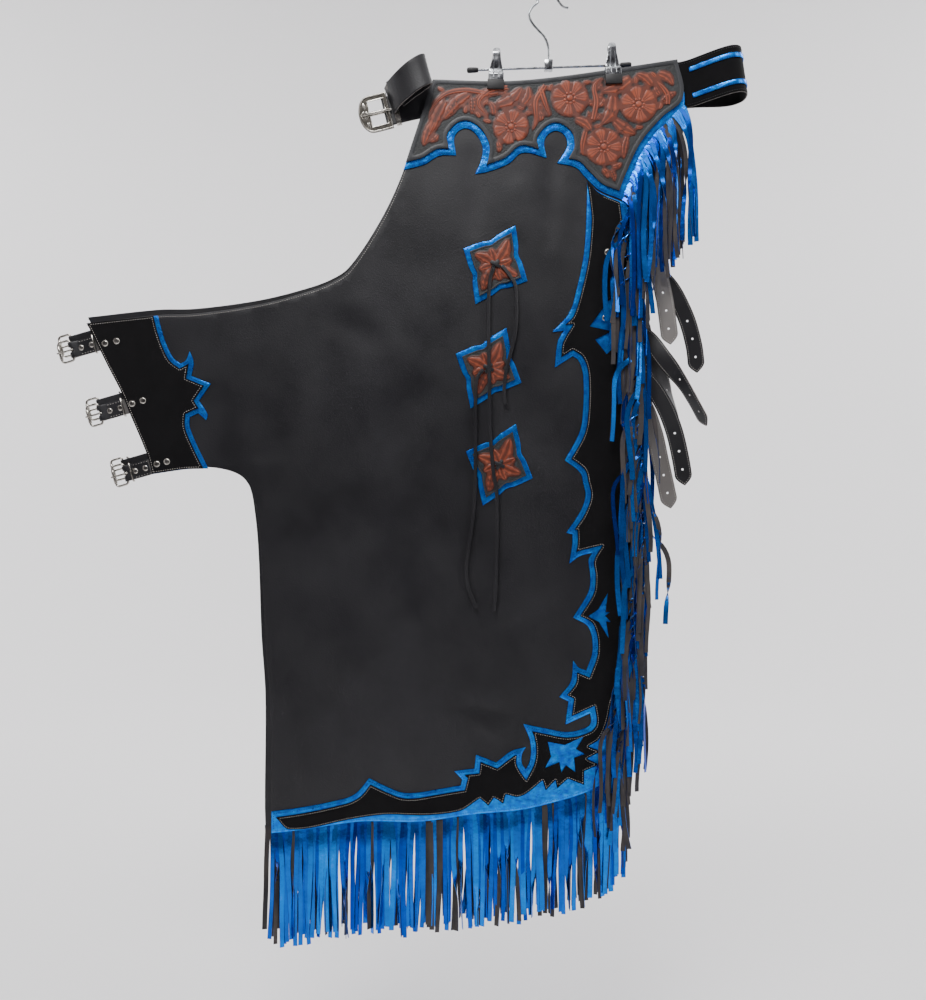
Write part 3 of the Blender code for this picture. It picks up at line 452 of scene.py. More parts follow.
def stitch_tree():
    """Lays one plump stitch at each pitch along every line."""
    tree, given = new_tree("stitch_rows", [("Pitch", "Float"), ("Stitch Length", "Float"),
                                           ("Thread", "Float"), ("Finish", "Material")])
    line = add_node(tree, "GeometryNodeMeshToCurve", {"Mesh": given["Geometry"]})
    spaced = add_node(tree, "GeometryNodeResampleCurve", {"Curve": line.outputs[0], "Length": given["Pitch"]},
                      mode="LENGTH")
    stitch = add_node(tree, "GeometryNodeMeshIcoSphere", {"Radius": 0.5, "Subdivisions": 1})
    size = add_node(tree, "ShaderNodeCombineXYZ",
                    {"X": given["Stitch Length"], "Y": given["Thread"], "Z": given["Thread"]})
    tangent = add_node(tree, "GeometryNodeInputTangent")
    turn = add_node(tree, "FunctionNodeAlignRotationToVector", {"Vector": tangent.outputs[0]}, axis="X")
    row = add_node(tree, "GeometryNodeInstanceOnPoints",
                   {"Points": spaced.outputs[0], "Instance": stitch.outputs["Mesh"],
                    "Rotation": turn.outputs[0], "Scale": size.outputs[0]})
    return close_tree(tree, row.outputs[0], given["Finish"])


def rivet_tree():
    """Sets a domed cap on a thin rim at every point; caps face along the depth axis."""
    tree, given = new_tree("rivets", [("Radius", "Float"), ("Height", "Float"), ("Finish", "Material")])
    dome = add_node(tree, "GeometryNodeMeshUVSphere", {"Segments": 16, "Rings": 8, "Radius": 1.0})
    rim = add_node(tree, "GeometryNodeMeshCylinder", {"Vertices": 16, "Radius": 1.12, "Depth": 0.5})
    both = add_node(tree, "GeometryNodeJoinGeometry")
    tree.links.new(dome.outputs["Mesh"], both.inputs[0])
    tree.links.new(rim.outputs["Mesh"], both.inputs[0])
    size = add_node(tree, "ShaderNodeCombineXYZ",
                    {"X": given["Radius"], "Y": given["Radius"], "Z": given["Height"]})
    caps = add_node(tree, "GeometryNodeInstanceOnPoints",
                    {"Points": given["Geometry"], "Instance": both.outputs[0],
                     "Rotation": (math.pi / 2, 0, 0), "Scale": size.outputs[0]})
    return close_tree(tree, caps.outputs[0], given["Finish"])


def strand_tree():
    """Turns lines into flat thongs that face along the lines' own facing directions."""
    tree, given = new_tree("fringe_strands", [("Width", "Float"), ("Thickness", "Float"),
                                              ("Finish", "Material")])
    line = add_node(tree, "GeometryNodeMeshToCurve", {"Mesh": given["Geometry"]})
    facing = add_node(tree, "GeometryNodeInputNamedAttribute", {"Name": "facing"}, data_type="FLOAT_VECTOR")
    turned = add_node(tree, "GeometryNodeSetCurveNormal",
                      {"Curve": line.outputs[0], "Normal": facing.outputs[0]}, mode="FREE")
    section = add_node(tree, "GeometryNodeCurvePrimitiveQuadrilateral",
                       {"Width": given["Thickness"], "Height": given["Width"]})
    position = add_node(tree, "GeometryNodeInputPosition").outputs[0]
    place = add_node(tree, "ShaderNodeSeparateXYZ", {0: position})
    behind = add_node(tree, "FunctionNodeCompare", {0: place.outputs["X"], 1: 0.0}, operation="LESS_THAN")
    marked = add_node(tree, "GeometryNodeStoreNamedAttribute",
                      {"Geometry": section.outputs[0], "Name": "flesh", "Value": behind.outputs[0]},
                      data_type="FLOAT", domain="POINT")
    widths = add_node(tree, "GeometryNodeInputNamedAttribute", {"Name": "share"}, data_type="FLOAT")
    strands = add_node(tree, "GeometryNodeCurveToMesh",
                       {"Curve": turned.outputs[0], "Profile Curve": marked.outputs[0],
                        "Scale": widths.outputs[0], "Fill Caps": True})
    return close_tree(tree, strands.outputs[0], given["Finish"])


def lines_mesh(name, lines):
    """A mesh of loose edges through lines of points in millimetres."""
    points = []
    edges = []
    for line in lines:
        first = len(points)
        points += [Vector(p) * MM for p in line]
        edges += [(first + i, first + i + 1) for i in range(len(line) - 1)]
    mesh = bpy.data.meshes.new(name)
    mesh.from_pydata(points, edges, [])
    return mesh


def grown(name, source, tree_maker, values):
    """Runs a geometry node tree on a source mesh and returns the plain mesh that comes out."""
    tree = bpy.data.node_groups.get(tree_maker.__name__) or tree_maker()
    tree.name = tree_maker.__name__
    holder = bpy.data.objects.new(name + "_source", source)
    bpy.context.scene.collection.objects.link(holder)
    change = holder.modifiers.new(name, "NODES")
    change.node_group = tree
    for item in tree.interface.items_tree:
        if item.in_out == "INPUT" and item.name in values:
            change[item.identifier] = values[item.name]
    bpy.context.view_layer.update()
    graph = bpy.context.evaluated_depsgraph_get()
    mesh = bpy.data.meshes.new_from_object(holder.evaluated_get(graph))
    holder.modifiers.remove(change)
    bpy.data.objects.remove(holder, do_unlink=True)
    bpy.data.meshes.remove(source)
    mesh.name = name
    return mesh


# Share of its pitch that a stitch covers, and the thread's thickness
STITCH_SHARE = 0.72
THREAD_THICK = 0.75


def stitches(name, lines, colour, pitch):
    """A piece of stitching along lines of points in millimetres."""
    values = {"Pitch": pitch * MM, "Stitch Length": pitch * STITCH_SHARE * MM,
              "Thread": THREAD_THICK * MM, "Finish": finish(colour)}
    return add_piece(name, grown(name, lines_mesh(name, lines), stitch_tree, values), None)


def rivets(name, points, radius=3.8, height=0.9):
    """A piece of rivet caps at points in millimetres."""
    source = bpy.data.meshes.new(name)
    source.from_pydata([Vector(p) * MM for p in points], [], [])
    values = {"Radius": radius * MM, "Height": height * MM, "Finish": finish("nickel_plate")}
    return add_piece(name, grown(name, source, rivet_tree, values), None)


# Finishes


def new_material(name, colour, roughness, metallic=0.0):
    material = bpy.data.materials.new(name)
    material.use_nodes = True
    tree = material.node_tree
    shader = tree.nodes["Principled BSDF"]
    shader.inputs["Base Color"].default_value = linear(colour)
    shader.inputs["Roughness"].default_value = roughness
    shader.inputs["Metallic"].default_value = metallic
    place = add_node(tree, "ShaderNodeTexCoord").outputs["Object"]
    return material, tree, shader, place


# Shares that a noise pattern mostly stays between
NOISE_LOW = 0.3
NOISE_HIGH = 0.7


def cloudy(tree, place, scale, dark, light, detail=4.0):
    """A colour that drifts between two shades."""
    noise = add_node(tree, "ShaderNodeTexNoise", {"Vector": place, "Scale": scale, "Detail": detail})
    share = add_node(tree, "ShaderNodeMapRange", {0: noise.outputs["Fac"], 1: NOISE_LOW, 2: NOISE_HIGH})
    mix = add_node(tree, "ShaderNodeMix", {0: share.outputs[0], 6: linear(dark), 7: linear(light)},
                   data_type="RGBA")
    return mix.outputs[2]


def drifting(tree, place, scale, low, high):
    """A number that drifts between two values."""
    noise = add_node(tree, "ShaderNodeTexNoise", {"Vector": place, "Scale": scale, "Detail": 3.0})
    return add_node(tree, "ShaderNodeMapRange", {0: noise.outputs["Fac"], 1: NOISE_LOW, 2: NOISE_HIGH,
                                                 3: low, 4: high}).outputs[0]


def bumped(tree, shader, heights):
    """Gives a shader bumps: rows of (height, size in millimetres)."""
    normal = None
    for height, size in heights:
        inputs = {"Height": height, "Distance": size * MM, "Strength": 1.0}
        if normal:
            inputs["Normal"] = normal
        normal = add_node(tree, "ShaderNodeBump", inputs).outputs[0]
    tree.links.new(normal, shader.inputs["Normal"])


def grain(tree, place, cell):
    """Pebbled grain of full-grain hide, with cells of that many millimetres."""
    return add_node(tree, "ShaderNodeTexVoronoi", {"Vector": place, "Scale": 1000 / cell},
                    feature="SMOOTH_F1").outputs["Distance"]


def crumple(tree, place, size, detail=3.0):
    return add_node(tree, "ShaderNodeTexNoise", {"Vector": place, "Scale": 1000 / size, "Detail": detail}
                    ).outputs["Fac"]


def smooth_black_leather():
    """Cowhide, dyed and glazed: a soft broad shine over fine pebbled grain and slight handling marks."""
    material, tree, shader, place = new_material("smooth_black_leather", "#19181C", 0.48)
    tree.links.new(cloudy(tree, place, 7.0, "#121115", "#1C1B1F"), shader.inputs["Base Color"])
    tree.links.new(drifting(tree, place, 14.0, 0.4, 0.54), shader.inputs["Roughness"])
    bumped(tree, shader, [(crumple(tree, place, 80, 2.0), 0.7), (grain(tree, place, 1.7), 0.12)])
    return material


def metallic_blue_leather():
    """Hide laminated with blue foil: mirror-like but crumpled, so highlights break into bright patches."""
    material, tree, shader, place = new_material("metallic_blue_leather", "#0288F5", 0.3, 0.85)
    tree.links.new(cloudy(tree, place, 160.0, "#0162DE", "#0098FF"), shader.inputs["Base Color"])
    tree.links.new(drifting(tree, place, 90.0, 0.26, 0.4), shader.inputs["Roughness"])
    bumped(tree, shader, [(crumple(tree, place, 9, 2.0), 0.8), (crumple(tree, place, 2.6), 0.22)])
    return material


def fringe_leather():
    """The foiled hide cut in thongs: crumpled blue on the face, charcoal suede on the flesh side."""
    material, tree, shader, place = new_material("fringe_leather", "#0A6AD8", 0.26, 0.9)
    flesh = add_node(tree, "ShaderNodeAttribute", attribute_name="flesh").outputs["Fac"]
    back = add_node(tree, "ShaderNodeMath", {0: flesh, 1: 0.5}, operation="GREATER_THAN").outputs[0]
    share = add_node(tree, "ShaderNodeAttribute", attribute_name="share").outputs["Fac"]
    tone = add_node(tree, "ShaderNodeMapRange", {0: share, 1: 0.82, 2: 1.12}).outputs[0]
    strand = add_node(tree, "ShaderNodeMix", {0: tone, 6: linear("#013AB4"), 7: linear("#008EFC")},
                      data_type="RGBA").outputs[2]
    # The blue drifts darker towards navy in random patches.
    navy_drift = drifting(tree, place, 30.0, 0.0, 0.45)
    blue = add_node(tree, "ShaderNodeMix", {0: navy_drift, 6: strand, 7: linear("#011E74")},
                    data_type="RGBA").outputs[2]
    charcoal = cloudy(tree, place, 30.0, "#26252B", "#453F3C")
    shown = add_node(tree, "ShaderNodeMix", {0: back, 6: blue, 7: charcoal}, data_type="RGBA").outputs[2]
    tree.links.new(shown, shader.inputs["Base Color"])
    metal = add_node(tree, "ShaderNodeMapRange", {0: back, 3: 0.88, 4: 0.0}).outputs[0]
    tree.links.new(metal, shader.inputs["Metallic"])
    rough = add_node(tree, "ShaderNodeMapRange", {0: back, 3: 0.24, 4: 0.85}).outputs[0]
    tree.links.new(rough, shader.inputs["Roughness"])
    bumped(tree, shader, [(crumple(tree, place, 14, 2.0), 0.7), (crumple(tree, place, 2.4), 0.08)])
    return material


def black_suede():
    """Split hide, brushed: a deep matt black with a faint nap that greys where it is stroked."""
    material, tree, shader, place = new_material("black_suede", "#0B0A0C", 0.95)
    tree.links.new(cloudy(tree, place, 22.0, "#050406", "#0C0B0D", 6.0), shader.inputs["Base Color"])
    shader.inputs["Sheen Weight"].default_value = 0.05
    shader.inputs["Sheen Roughness"].default_value = 0.6
    shader.inputs["Specular IOR Level"].default_value = 0.15
    bumped(tree, shader, [(crumple(tree, place, 12), 0.3), (crumple(tree, place, 0.9), 0.12)])
    return material


def carved_tan_leather():
    """Vegetable-tanned hide, carved and stained red-brown, with painted shade: darker where the tools cut deep."""
    material, tree, shader, place = new_material("carved_tan_leather", "#A8553B", 0.48)
    unshaded = add_node(tree, "ShaderNodeAttribute", attribute_name="unshaded").outputs["Fac"]
    top = cloudy(tree, place, 60.0, "#833B26", "#A04E33")
    # Painted shade: the tan darkens to near black where the carving's unshaded share is low, in its cuts, edges
    # and hollows.
    unshaded_mix = add_node(tree, "ShaderNodeMapRange", {0: unshaded, 1: 0.2, 2: 0.9}).outputs[0]
    shown = add_node(tree, "ShaderNodeMix", {0: unshaded_mix, 6: linear("#260D08"), 7: top}, data_type="RGBA")
    tree.links.new(shown.outputs[2], shader.inputs["Base Color"])
    tree.links.new(drifting(tree, place, 80.0, 0.4, 0.56), shader.inputs["Roughness"])
    bumped(tree, shader, [(grain(tree, place, 1.1), 0.06)])
    return material


def matted_ground():
    """The carved hide's background, dyed grey-black and stamped all over with a small round tool."""
    material, tree, shader, place = new_material("matted_ground", "#333435", 0.6)
    tree.links.new(cloudy(tree, place, 50.0, "#1B1C1D", "#2A2C2D"), shader.inputs["Base Color"])
    bumped(tree, shader, [(grain(tree, place, 2.2), 0.35)])
    return material


def dyed_rim():
    """The smooth uncarved margin of the tooled pieces, in the same grey-black dye."""
    material, tree, shader, place = new_material("dyed_rim", "#404144", 0.48)
    tree.links.new(cloudy(tree, place, 30.0, "#242528", "#323337"), shader.inputs["Base Color"])
    bumped(tree, shader, [(grain(tree, place, 1.4), 0.07)])
    return material


def flesh_side():
    """The hide's fibrous inner side, grey and matt."""
    material, tree, shader, place = new_material("flesh_side", "#5F5C5B", 0.85)
    tree.links.new(cloudy(tree, place, 35.0, "#3B3839", "#575354", 6.0), shader.inputs["Base Color"])
    shader.inputs["Sheen Weight"].default_value = 0.15
    bumped(tree, shader, [(crumple(tree, place, 1.2, 5.0), 0.2)])
    return material


def cut_edge():
    """The hide's cut edge, grey-brown fibres."""
    material, tree, shader, place = new_material("cut_edge", "#5C5856", 0.8)
    tree.links.new(cloudy(tree, place, 300.0, "#3F3C3B", "#77726E"), shader.inputs["Base Color"])
    return material


def nickel_plate():
    """Nickel-plated die-cast metal: warm silver, softly polished."""
    material, tree, shader, place = new_material("nickel_plate", "#A8A49D", 0.24, 1.0)
    tree.links.new(cloudy(tree, place, 170.0, "#7C7872", "#CBC7BF"), shader.inputs["Base Color"])
    tree.links.new(drifting(tree, place, 160.0, 0.16, 0.3), shader.inputs["Roughness"])
    bumped(tree, shader, [(crumple(tree, place, 3), 0.03)])
    return material


def antique_fill():
    """Dark patina left in the engraved hollows of the belt buckle."""
    material, tree, shader, place = new_material("antique_fill", "#3A3733", 0.55, 0.8)
    tree.links.new(cloudy(tree, place, 200.0, "#2A2825", "#55514B"), shader.inputs["Base Color"])
    return material


def bright_steel():
    """Chromed spring steel of the hanger and its clips, with fine scuffs."""
    material, tree, shader, place = new_material("bright_steel", "#A4A6A9", 0.2, 1.0)
    tree.links.new(cloudy(tree, place, 140.0, "#77797C", "#C4C6C9"), shader.inputs["Base Color"])
    tree.links.new(drifting(tree, place, 220.0, 0.14, 0.3), shader.inputs["Roughness"])
    bumped(tree, shader, [(crumple(tree, place, 6), 0.04)])
    return material


def black_rubber():
    """Dipped vinyl on the bar's ends and the clips' jaws: matt black."""
    material, tree, shader, place = new_material("black_rubber", "#131214", 0.55)
    tree.links.new(cloudy(tree, place, 90.0, "#0E0D0F", "#1C1B1D"), shader.inputs["Base Color"])
    return material


def thread(name, dark, light):
    """Bonded polyester sewing thread, slightly glossy and uneven in shade."""
    material, tree, shader, place = new_material(name, light, 0.55)
    tree.links.new(cloudy(tree, place, 260.0, dark, light), shader.inputs["Base Color"])
    return material


def grey_thread():
    return thread("grey_thread", "#8A8581", "#C2BDB6")


def blue_thread():
    return thread("blue_thread", "#061A5C", "#0C3488")


def black_thread():
    return thread("black_thread", "#19181A", "#2D2B2E")


FINISHES = {maker.__name__: maker for maker in (
    smooth_black_leather, metallic_blue_leather, fringe_leather, black_suede, carved_tan_leather,
    matted_ground, dyed_rim, flesh_side, cut_edge, nickel_plate, antique_fill, bright_steel, black_rubber,
    grey_thread, blue_thread, black_thread)}


def finish(name):
    """The material of that name, made when it is first asked for."""
    return bpy.data.materials.get(name) or FINISHES[name]()


# Operators, one for each group of pieces


class ChapsSizes(bpy.types.PropertyGroup):
    """Sizes and colours that a user would change."""

    stitch_pitch: FloatProperty(name="Stitch pitch", description="From one stitch to the next",
                                default=0.003, unit="LENGTH")
    strand_wide: FloatProperty(name="Strand width", description="Width of one thong of the fringe",
                               default=0.0058, unit="LENGTH")
    strand_long: FloatProperty(name="Strand length", description="Hanging length of the fringe",
                               default=0.143, unit="LENGTH")
    floor_colour: FloatVectorProperty(name="Floor colour", description="Colour of floor and backdrop",
                                      default=linear("#F3F2F3")[:3], subtype="COLOR")


class CHAPS_OT_stage(bpy.types.Operator):
    """Camera at the photograph's angle, pale floor with a round backdrop, and soft lights"""

    bl_idname = "chaps.stage"
    bl_label = "Stage"

    def execute(self, context):
        scene = context.scene
        camera = bpy.data.cameras.new("camera")
        camera.sensor_width = 36.0
        camera.lens = camera.sensor_width / 2 / (VIEW_TALL / 2 / VIEW_AWAY)
        holder = bpy.data.objects.new("camera", camera)
        holder.location = (VIEW_CENTRE[0], -VIEW_AWAY, VIEW_CENTRE[1])
        holder.rotation_euler = (math.pi / 2, 0, 0)
        scene.collection.objects.link(holder)
        scene.camera = holder
        self.add_backdrop(context)
        world = bpy.data.worlds.new("studio")
        world.use_nodes = True
        world.node_tree.nodes["Background"].inputs["Color"].default_value = linear("#E6E4E6")
        world.node_tree.nodes["Background"].inputs["Strength"].default_value = 0.75
        scene.world = world
        for name, place, size, power in LIGHTS:
            light = bpy.data.lights.new(name, "AREA")
            light.shape = "RECTANGLE"
            light.size, light.size_y = size
            light.energy = power
            lamp = bpy.data.objects.new(name, light)
            lamp.location = place
            lamp.rotation_mode = "QUATERNION"
            aim = WALL_AIM if name.startswith("wall") else LIGHT_AIM
            lamp.rotation_quaternion = (Vector(place) - Vector(aim)).to_track_quat("Z", "Y")
            lamp.visible_camera = False
            scene.collection.objects.link(lamp)
        return {"FINISHED"}

    def add_backdrop(self, context):
        """A round floor whose rim curves up into a wall, all round the object."""
        profile = [(0.0, 0.0), (BACKDROP_FAR - BACKDROP_BEND, 0.0)]
        for step in range(1, 9):
            angle = math.pi / 2 * step / 8
            profile.append((BACKDROP_FAR - BACKDROP_BEND * (1 - math.sin(angle)),
                            BACKDROP_BEND * (1 - math.cos(angle))))
        profile.append((BACKDROP_FAR, BACKDROP_TALL))
        points = []
        faces = []
        around = 72
        for radius, height in profile:
            for k in range(around):
                angle = 2 * math.pi * k / around
                points.append((VIEW_CENTRE[0] + radius * math.cos(angle), radius * math.sin(angle),
                               FLOOR_UP + height))
        for ring in range(len(profile) - 1):
            for k in range(around):
                after = (k + 1) % around
                faces.append((ring * around + k, ring * around + after, (ring + 1) * around + after,
                              (ring + 1) * around + k))
        mesh = bpy.data.meshes.new("backdrop")
        mesh.from_pydata(points, [], faces)
        smooth(mesh)
        backdrop = bpy.data.objects.new("backdrop", mesh)
        material, tree, shader, place = new_material("painted_backdrop", "#D9D6D6", 0.9)
        shader.inputs["Specular IOR Level"].default_value = 0.1
        # Painted shade: the backdrop goes from the pale colour to grey towards the camera's side, standing in for
        # a dimmer room behind the camera.
        nearness = add_node(tree, "ShaderNodeSeparateXYZ", {0: place}).outputs["Y"]
        shade_share = add_node(tree, "ShaderNodeMapRange", {0: nearness, 1: -0.4, 2: -3.4}).outputs[0]
        pale = (*context.scene.chaps_sizes.floor_colour, 1.0)
        paint = add_node(tree, "ShaderNodeMix", {0: shade_share, 6: pale, 7: linear("#68666A")},
                         data_type="RGBA")
        tree.links.new(paint.outputs[2], shader.inputs["Base Color"])
        mesh.materials.append(material)
        context.scene.collection.objects.link(backdrop)


# Camera: what it looks at (across, up), its distance, and the height it takes in, in metres
VIEW_CENTRE = (-0.108, -0.6656)
VIEW_AWAY = 1.25
VIEW_TALL = 1.3
FLOOR_UP = -1.45
BACKDROP_FAR = 4.5
BACKDROP_BEND = 1.6
BACKDROP_TALL = 5.0
LIGHT_AIM = (-0.1, 0.0, -0.35)
WALL_AIM = (0.0, 4.5, -0.6)
# Lights: name, place, size and power
LIGHTS = [
    ("key_light", (-0.5, -1.2, 1.1), (1.1, 0.6), 42.0),
    ("fill_light", (1.7, -1.3, 0.5), (0.8, 1.4), 13.0),
    ("top_light", (0.2, 0.2, 1.7), (2.4, 1.6), 18.0),
    ("wall_light_left", (-2.6, 1.2, 1.4), (1.6, 1.6), 84.0),
    ("wall_light_right", (2.4, 1.2, 1.4), (1.6, 1.6), 88.0),
]

# Places on the front leg's panel outline where one edge ends and the next begins
INSEAM_TOP = (-185, -238)
TAB_TOP = (-595, -437)
HEM_LEFT = (-356, -1097)
HEM_RIGHT = (96, -988)
SIDE_TOP = (104, -282)
YOKE_CORNER = (99, -277)
YOKE_TIP = (178, -155)


class CHAPS_OT_legs(bpy.types.Operator):
    """The cut leather of both legs: panels, blue rims, suede overlays and tooled grounds"""

    bl_idname = "chaps.legs"
    bl_label = "Leg leather"

    def execute(self, context):
        for leg in LEGS:
            side = side_of(leg)
            for part, layer, spacing, finish_name, slot in LEG_SHEETS:
                node = f"{leg}_{part}"
                loop = cut_line(node, side)
                cuts = [burst(*cut) for cut in BURSTS] + WEDGES if part == "wing_overlay" else []
                holes = [on_leg(cut, leg) for cut in cuts]
                mesh = leather_sheet(node + "_leather", loop, layer, side, spacing, holes)
                piece = add_piece(node + "_leather", mesh, [finish_name], [node])
                declare_cut(loop)
        return {"FINISHED"}


def burst(middle, rays):
    """An uneven star: rays are (angle in degrees, reach) round its middle."""
    return [(middle[0] + reach * math.cos(math.radians(angle)),
             middle[1] + reach * math.sin(math.radians(angle))) for angle, reach in rays]


# Stars cut through the wing's suede, that show the blue below
BURSTS = [
    ((23, -995), [(-172, 17), (-145, 31), (-120, 12), (-98, 24), (-80, 15), (-58, 28), (-22, 14), (0, 27),
                  (22, 17), (42, 35), (85, 12), (142, 27)]),
    ((71, -815), [(-175, 17), (-110, 9), (-72, 31), (-52, 10), (-35, 15), (-5, 5), (20, 12), (40, 7),
                  (74, 31), (115, 9)]),
]

# Wedges cut through the wing's suede, as (across, up) corners
WEDGES = [[(56, -441), (80, -408), (93, -398), (93, -449)],
          [(63, -458), (93, -443), (93, -462), (78, -477)]]

# Leather sheets of each leg: node, layer, grid spacing, finish and material slot
LEG_SHEETS = [
    ("leg_panel", PANEL_LAYER, 8.0, "smooth_black_leather", "black_leather"),
    ("yoke_trim", TRIM_LAYER, 5.0, "metallic_blue_leather", "metallic_blue"),
    ("wing_trim", TRIM_LAYER, 6.0, "metallic_blue_leather", "metallic_blue"),
    ("tab_trim", TRIM_LAYER, 5.0, "metallic_blue_leather", "metallic_blue"),
    ("wing_overlay", SUEDE_LAYER, 6.0, "black_suede", "suede"),
    ("tab_overlay", SUEDE_LAYER, 6.0, "black_suede", "suede"),
    ("yoke", TOOLED_LAYER, 5.0, "matted_ground", "tooled_tan"),
]


class Strap:
    """A strap's own axes along a smooth path: how far along, across its width, out of its face."""

    def __init__(self, rows, step=1.5):
        """Each row is a middle point in millimetres and the way the face looks there."""
        dense = curve_through([(*middle, *face) for middle, face in rows], step)
        self.middles, self.faces = dense[:, :3], dense[:, 3:]
        lengths = np.linalg.norm(np.diff(self.middles, axis=0), axis=1)
        self.lengths = np.concatenate([[0.0], np.cumsum(lengths)])
        self.long = float(self.lengths[-1])
        along = np.gradient(self.middles, axis=0)
        self.along = along / np.linalg.norm(along, axis=1)[:, None]

    def read(self, table, places):
        """Reads one of the path's tables at places along it, carried on straight past its ends."""
        return np.stack([np.interp(places, self.lengths, table[:, k]) for k in range(3)], axis=1)

    def points(self, flat, out):
        """Puts (along, across) points of the flat strap on its path, at a height out of its face."""
        flat = np.array(flat, float)
        along = self.read(self.along, flat[:, 0])
        face = self.read(self.faces, flat[:, 0])
        face -= along * (face * along).sum(axis=1)[:, None]
        face /= np.linalg.norm(face, axis=1)[:, None]
        wide = np.cross(face, along)
        over = flat[:, 0] - np.clip(flat[:, 0], 0.0, self.long)
        middle = self.read(self.middles, flat[:, 0]) + along * over[:, None]
        return middle + wide * flat[:, 1:2] + face * np.reshape(out, (-1, 1))

    def reach(self, place):
        """How far along the path the point nearest to a place is."""
        return float(self.lengths[np.linalg.norm(self.middles - place, axis=1).argmin()])

    def cut(self, name, outline, thick, holes=(), spacing=3.0, bevel=0.3):
        """The strap's mesh, cut to an outline of (along, across) points."""
        flat, cells = filled(outline, spacing, holes)
        inner = self.points(flat, np.full(len(flat), -thick / 2))
        outer = self.points(flat, np.full(len(flat), thick / 2))
        mesh = walled(name, inner, outer, cells, bevel)
        shade(mesh)
        return mesh

    def ribbon(self, start, end, half):
        """Outline of a plain stretch of the strap, with points close enough to bend."""
        stations = np.linspace(start, end, max(2, round((end - start) / 2.5)))
        return [(s, -half) for s in stations] + [(s, half) for s in reversed(stations)]


def curve_through(rows, step):
    """A smooth curve through rows of numbers whose first three are a place, cut into steps."""
    rows = np.array(rows, float)
    result = []
    for i in range(len(rows) - 1):
        before, start, end = rows[max(i - 1, 0)], rows[i], rows[i + 1]
        after = rows[min(i + 2, len(rows) - 1)]
        steps = max(1, round(np.linalg.norm((end - start)[:3]) / step))
        t = np.arange(steps)[:, None] / steps
        result.append(0.5 * (2 * start + (end - before) * t
                             + (2 * before - 5 * start + 4 * end - after) * t ** 2
                             + (3 * start - before - 3 * end + after) * t ** 3))
    return np.concatenate([*result, rows[-1:]])


def flat_curve(points, step=1.0):
    """A smooth curve through (across, up) points, cut into steps."""
    return curve_through([(x, z, 0) for x, z in points], step)[:, :2]


def circle(middle, radius, count=10):
    return [(middle[0] + radius * math.cos(2 * math.pi * k / count),
             middle[1] + radius * math.sin(2 * math.pi * k / count)) for k in range(count)]


def tube(name, rows, sides=12, closed=False):
    """A round bar through rows of (point, radius) in millimetres."""
    middles = [Vector(p) for p, _ in rows]
    points = []
    faces = []
    count = len(rows)
    across = None
    for i, (_, radius) in enumerate(rows):
        before = middles[i - 1] if closed or i else middles[0]
        after = middles[(i + 1) % count] if closed or i < count - 1 else middles[-1]
        along = (after - before).normalized()
        if across is None:
            across = along.orthogonal()
        across = (across - along * across.dot(along)).normalized()
        other = along.cross(across)
        for k in range(sides):
            angle = 2 * math.pi * k / sides
            points.append(middles[i] + (across * math.cos(angle) + other * math.sin(angle)) * radius)
    for i in range(count if closed else count - 1):
        j = (i + 1) % count
        for k in range(sides):
            m = (k + 1) % sides
            faces.append([i * sides + k, i * sides + m, j * sides + m, j * sides + k])
    if not closed:
        faces += [list(range(sides)), list(range((count - 1) * sides, count * sides))]
    mesh = mesh_of(name, points, faces)
    shade(mesh)
    return mesh


def joined(name, meshes):
    """One mesh of several, whose faces take the number of their own mesh as material index."""
    shape = bmesh.new()
    total = bpy.data.meshes.new(name)
    for slot, mesh in enumerate(meshes):
        first = len(shape.faces)
        shape.from_mesh(mesh)
        shape.faces.ensure_lookup_table()
        for face in shape.faces[first:]:
            face.material_index = slot
        bpy.data.meshes.remove(mesh)
    shape.to_mesh(total)
    shape.free()
    return total


class CHAPS_OT_laces(bpy.types.Operator):
    """Thin flat thongs knotted on the conchos, hanging to their free ends"""

    bl_idname = "chaps.laces"
    bl_label = "Laces"

    def execute(self, context):
        for name, route in LACES.items():
            rows = [((x, float(depth(x, z)) - LACE_OUT, z), (0.25 * math.sin(0.012 * z + len(name)), -1, 0))
                    for x, z in route]
            strap = Strap(rows)
            outline = strap.ribbon(0, strap.long, LACE_WIDE / 2)
            mesh = strap.cut(name + "_thong", outline, LACE_THICK, spacing=9.0, bevel=0.35)
            piece = add_piece(name + "_thong", mesh, ["smooth_black_leather"], [name])
            path = strap.read(strap.middles, np.linspace(0, strap.long, 40)) * MM
        return {"FINISHED"}


# Laces from the knot to the free end, as (across, up); they repeat the solids' own routes
LACES = {
    "lace_1": [(-68, -366), (-73, -380), (-75, -408), (-75, -458), (-74, -510), (-73, -575),
               (-69, -627), (-64, -666), (-65, -755), (-68, -809)],
    "lace_2": [(-58, -363), (-47, -377), (-40, -393), (-40, -443), (-47, -477), (-53, -503),
               (-55, -525), (-53, -542)],
    "lace_3": [(-82, -497), (-90, -510), (-92, -542), (-93, -666), (-104, -760), (-91, -805)],
}
LACE_OUT = 9.6
LACE_WIDE = 4.6
LACE_THICK = 1.9


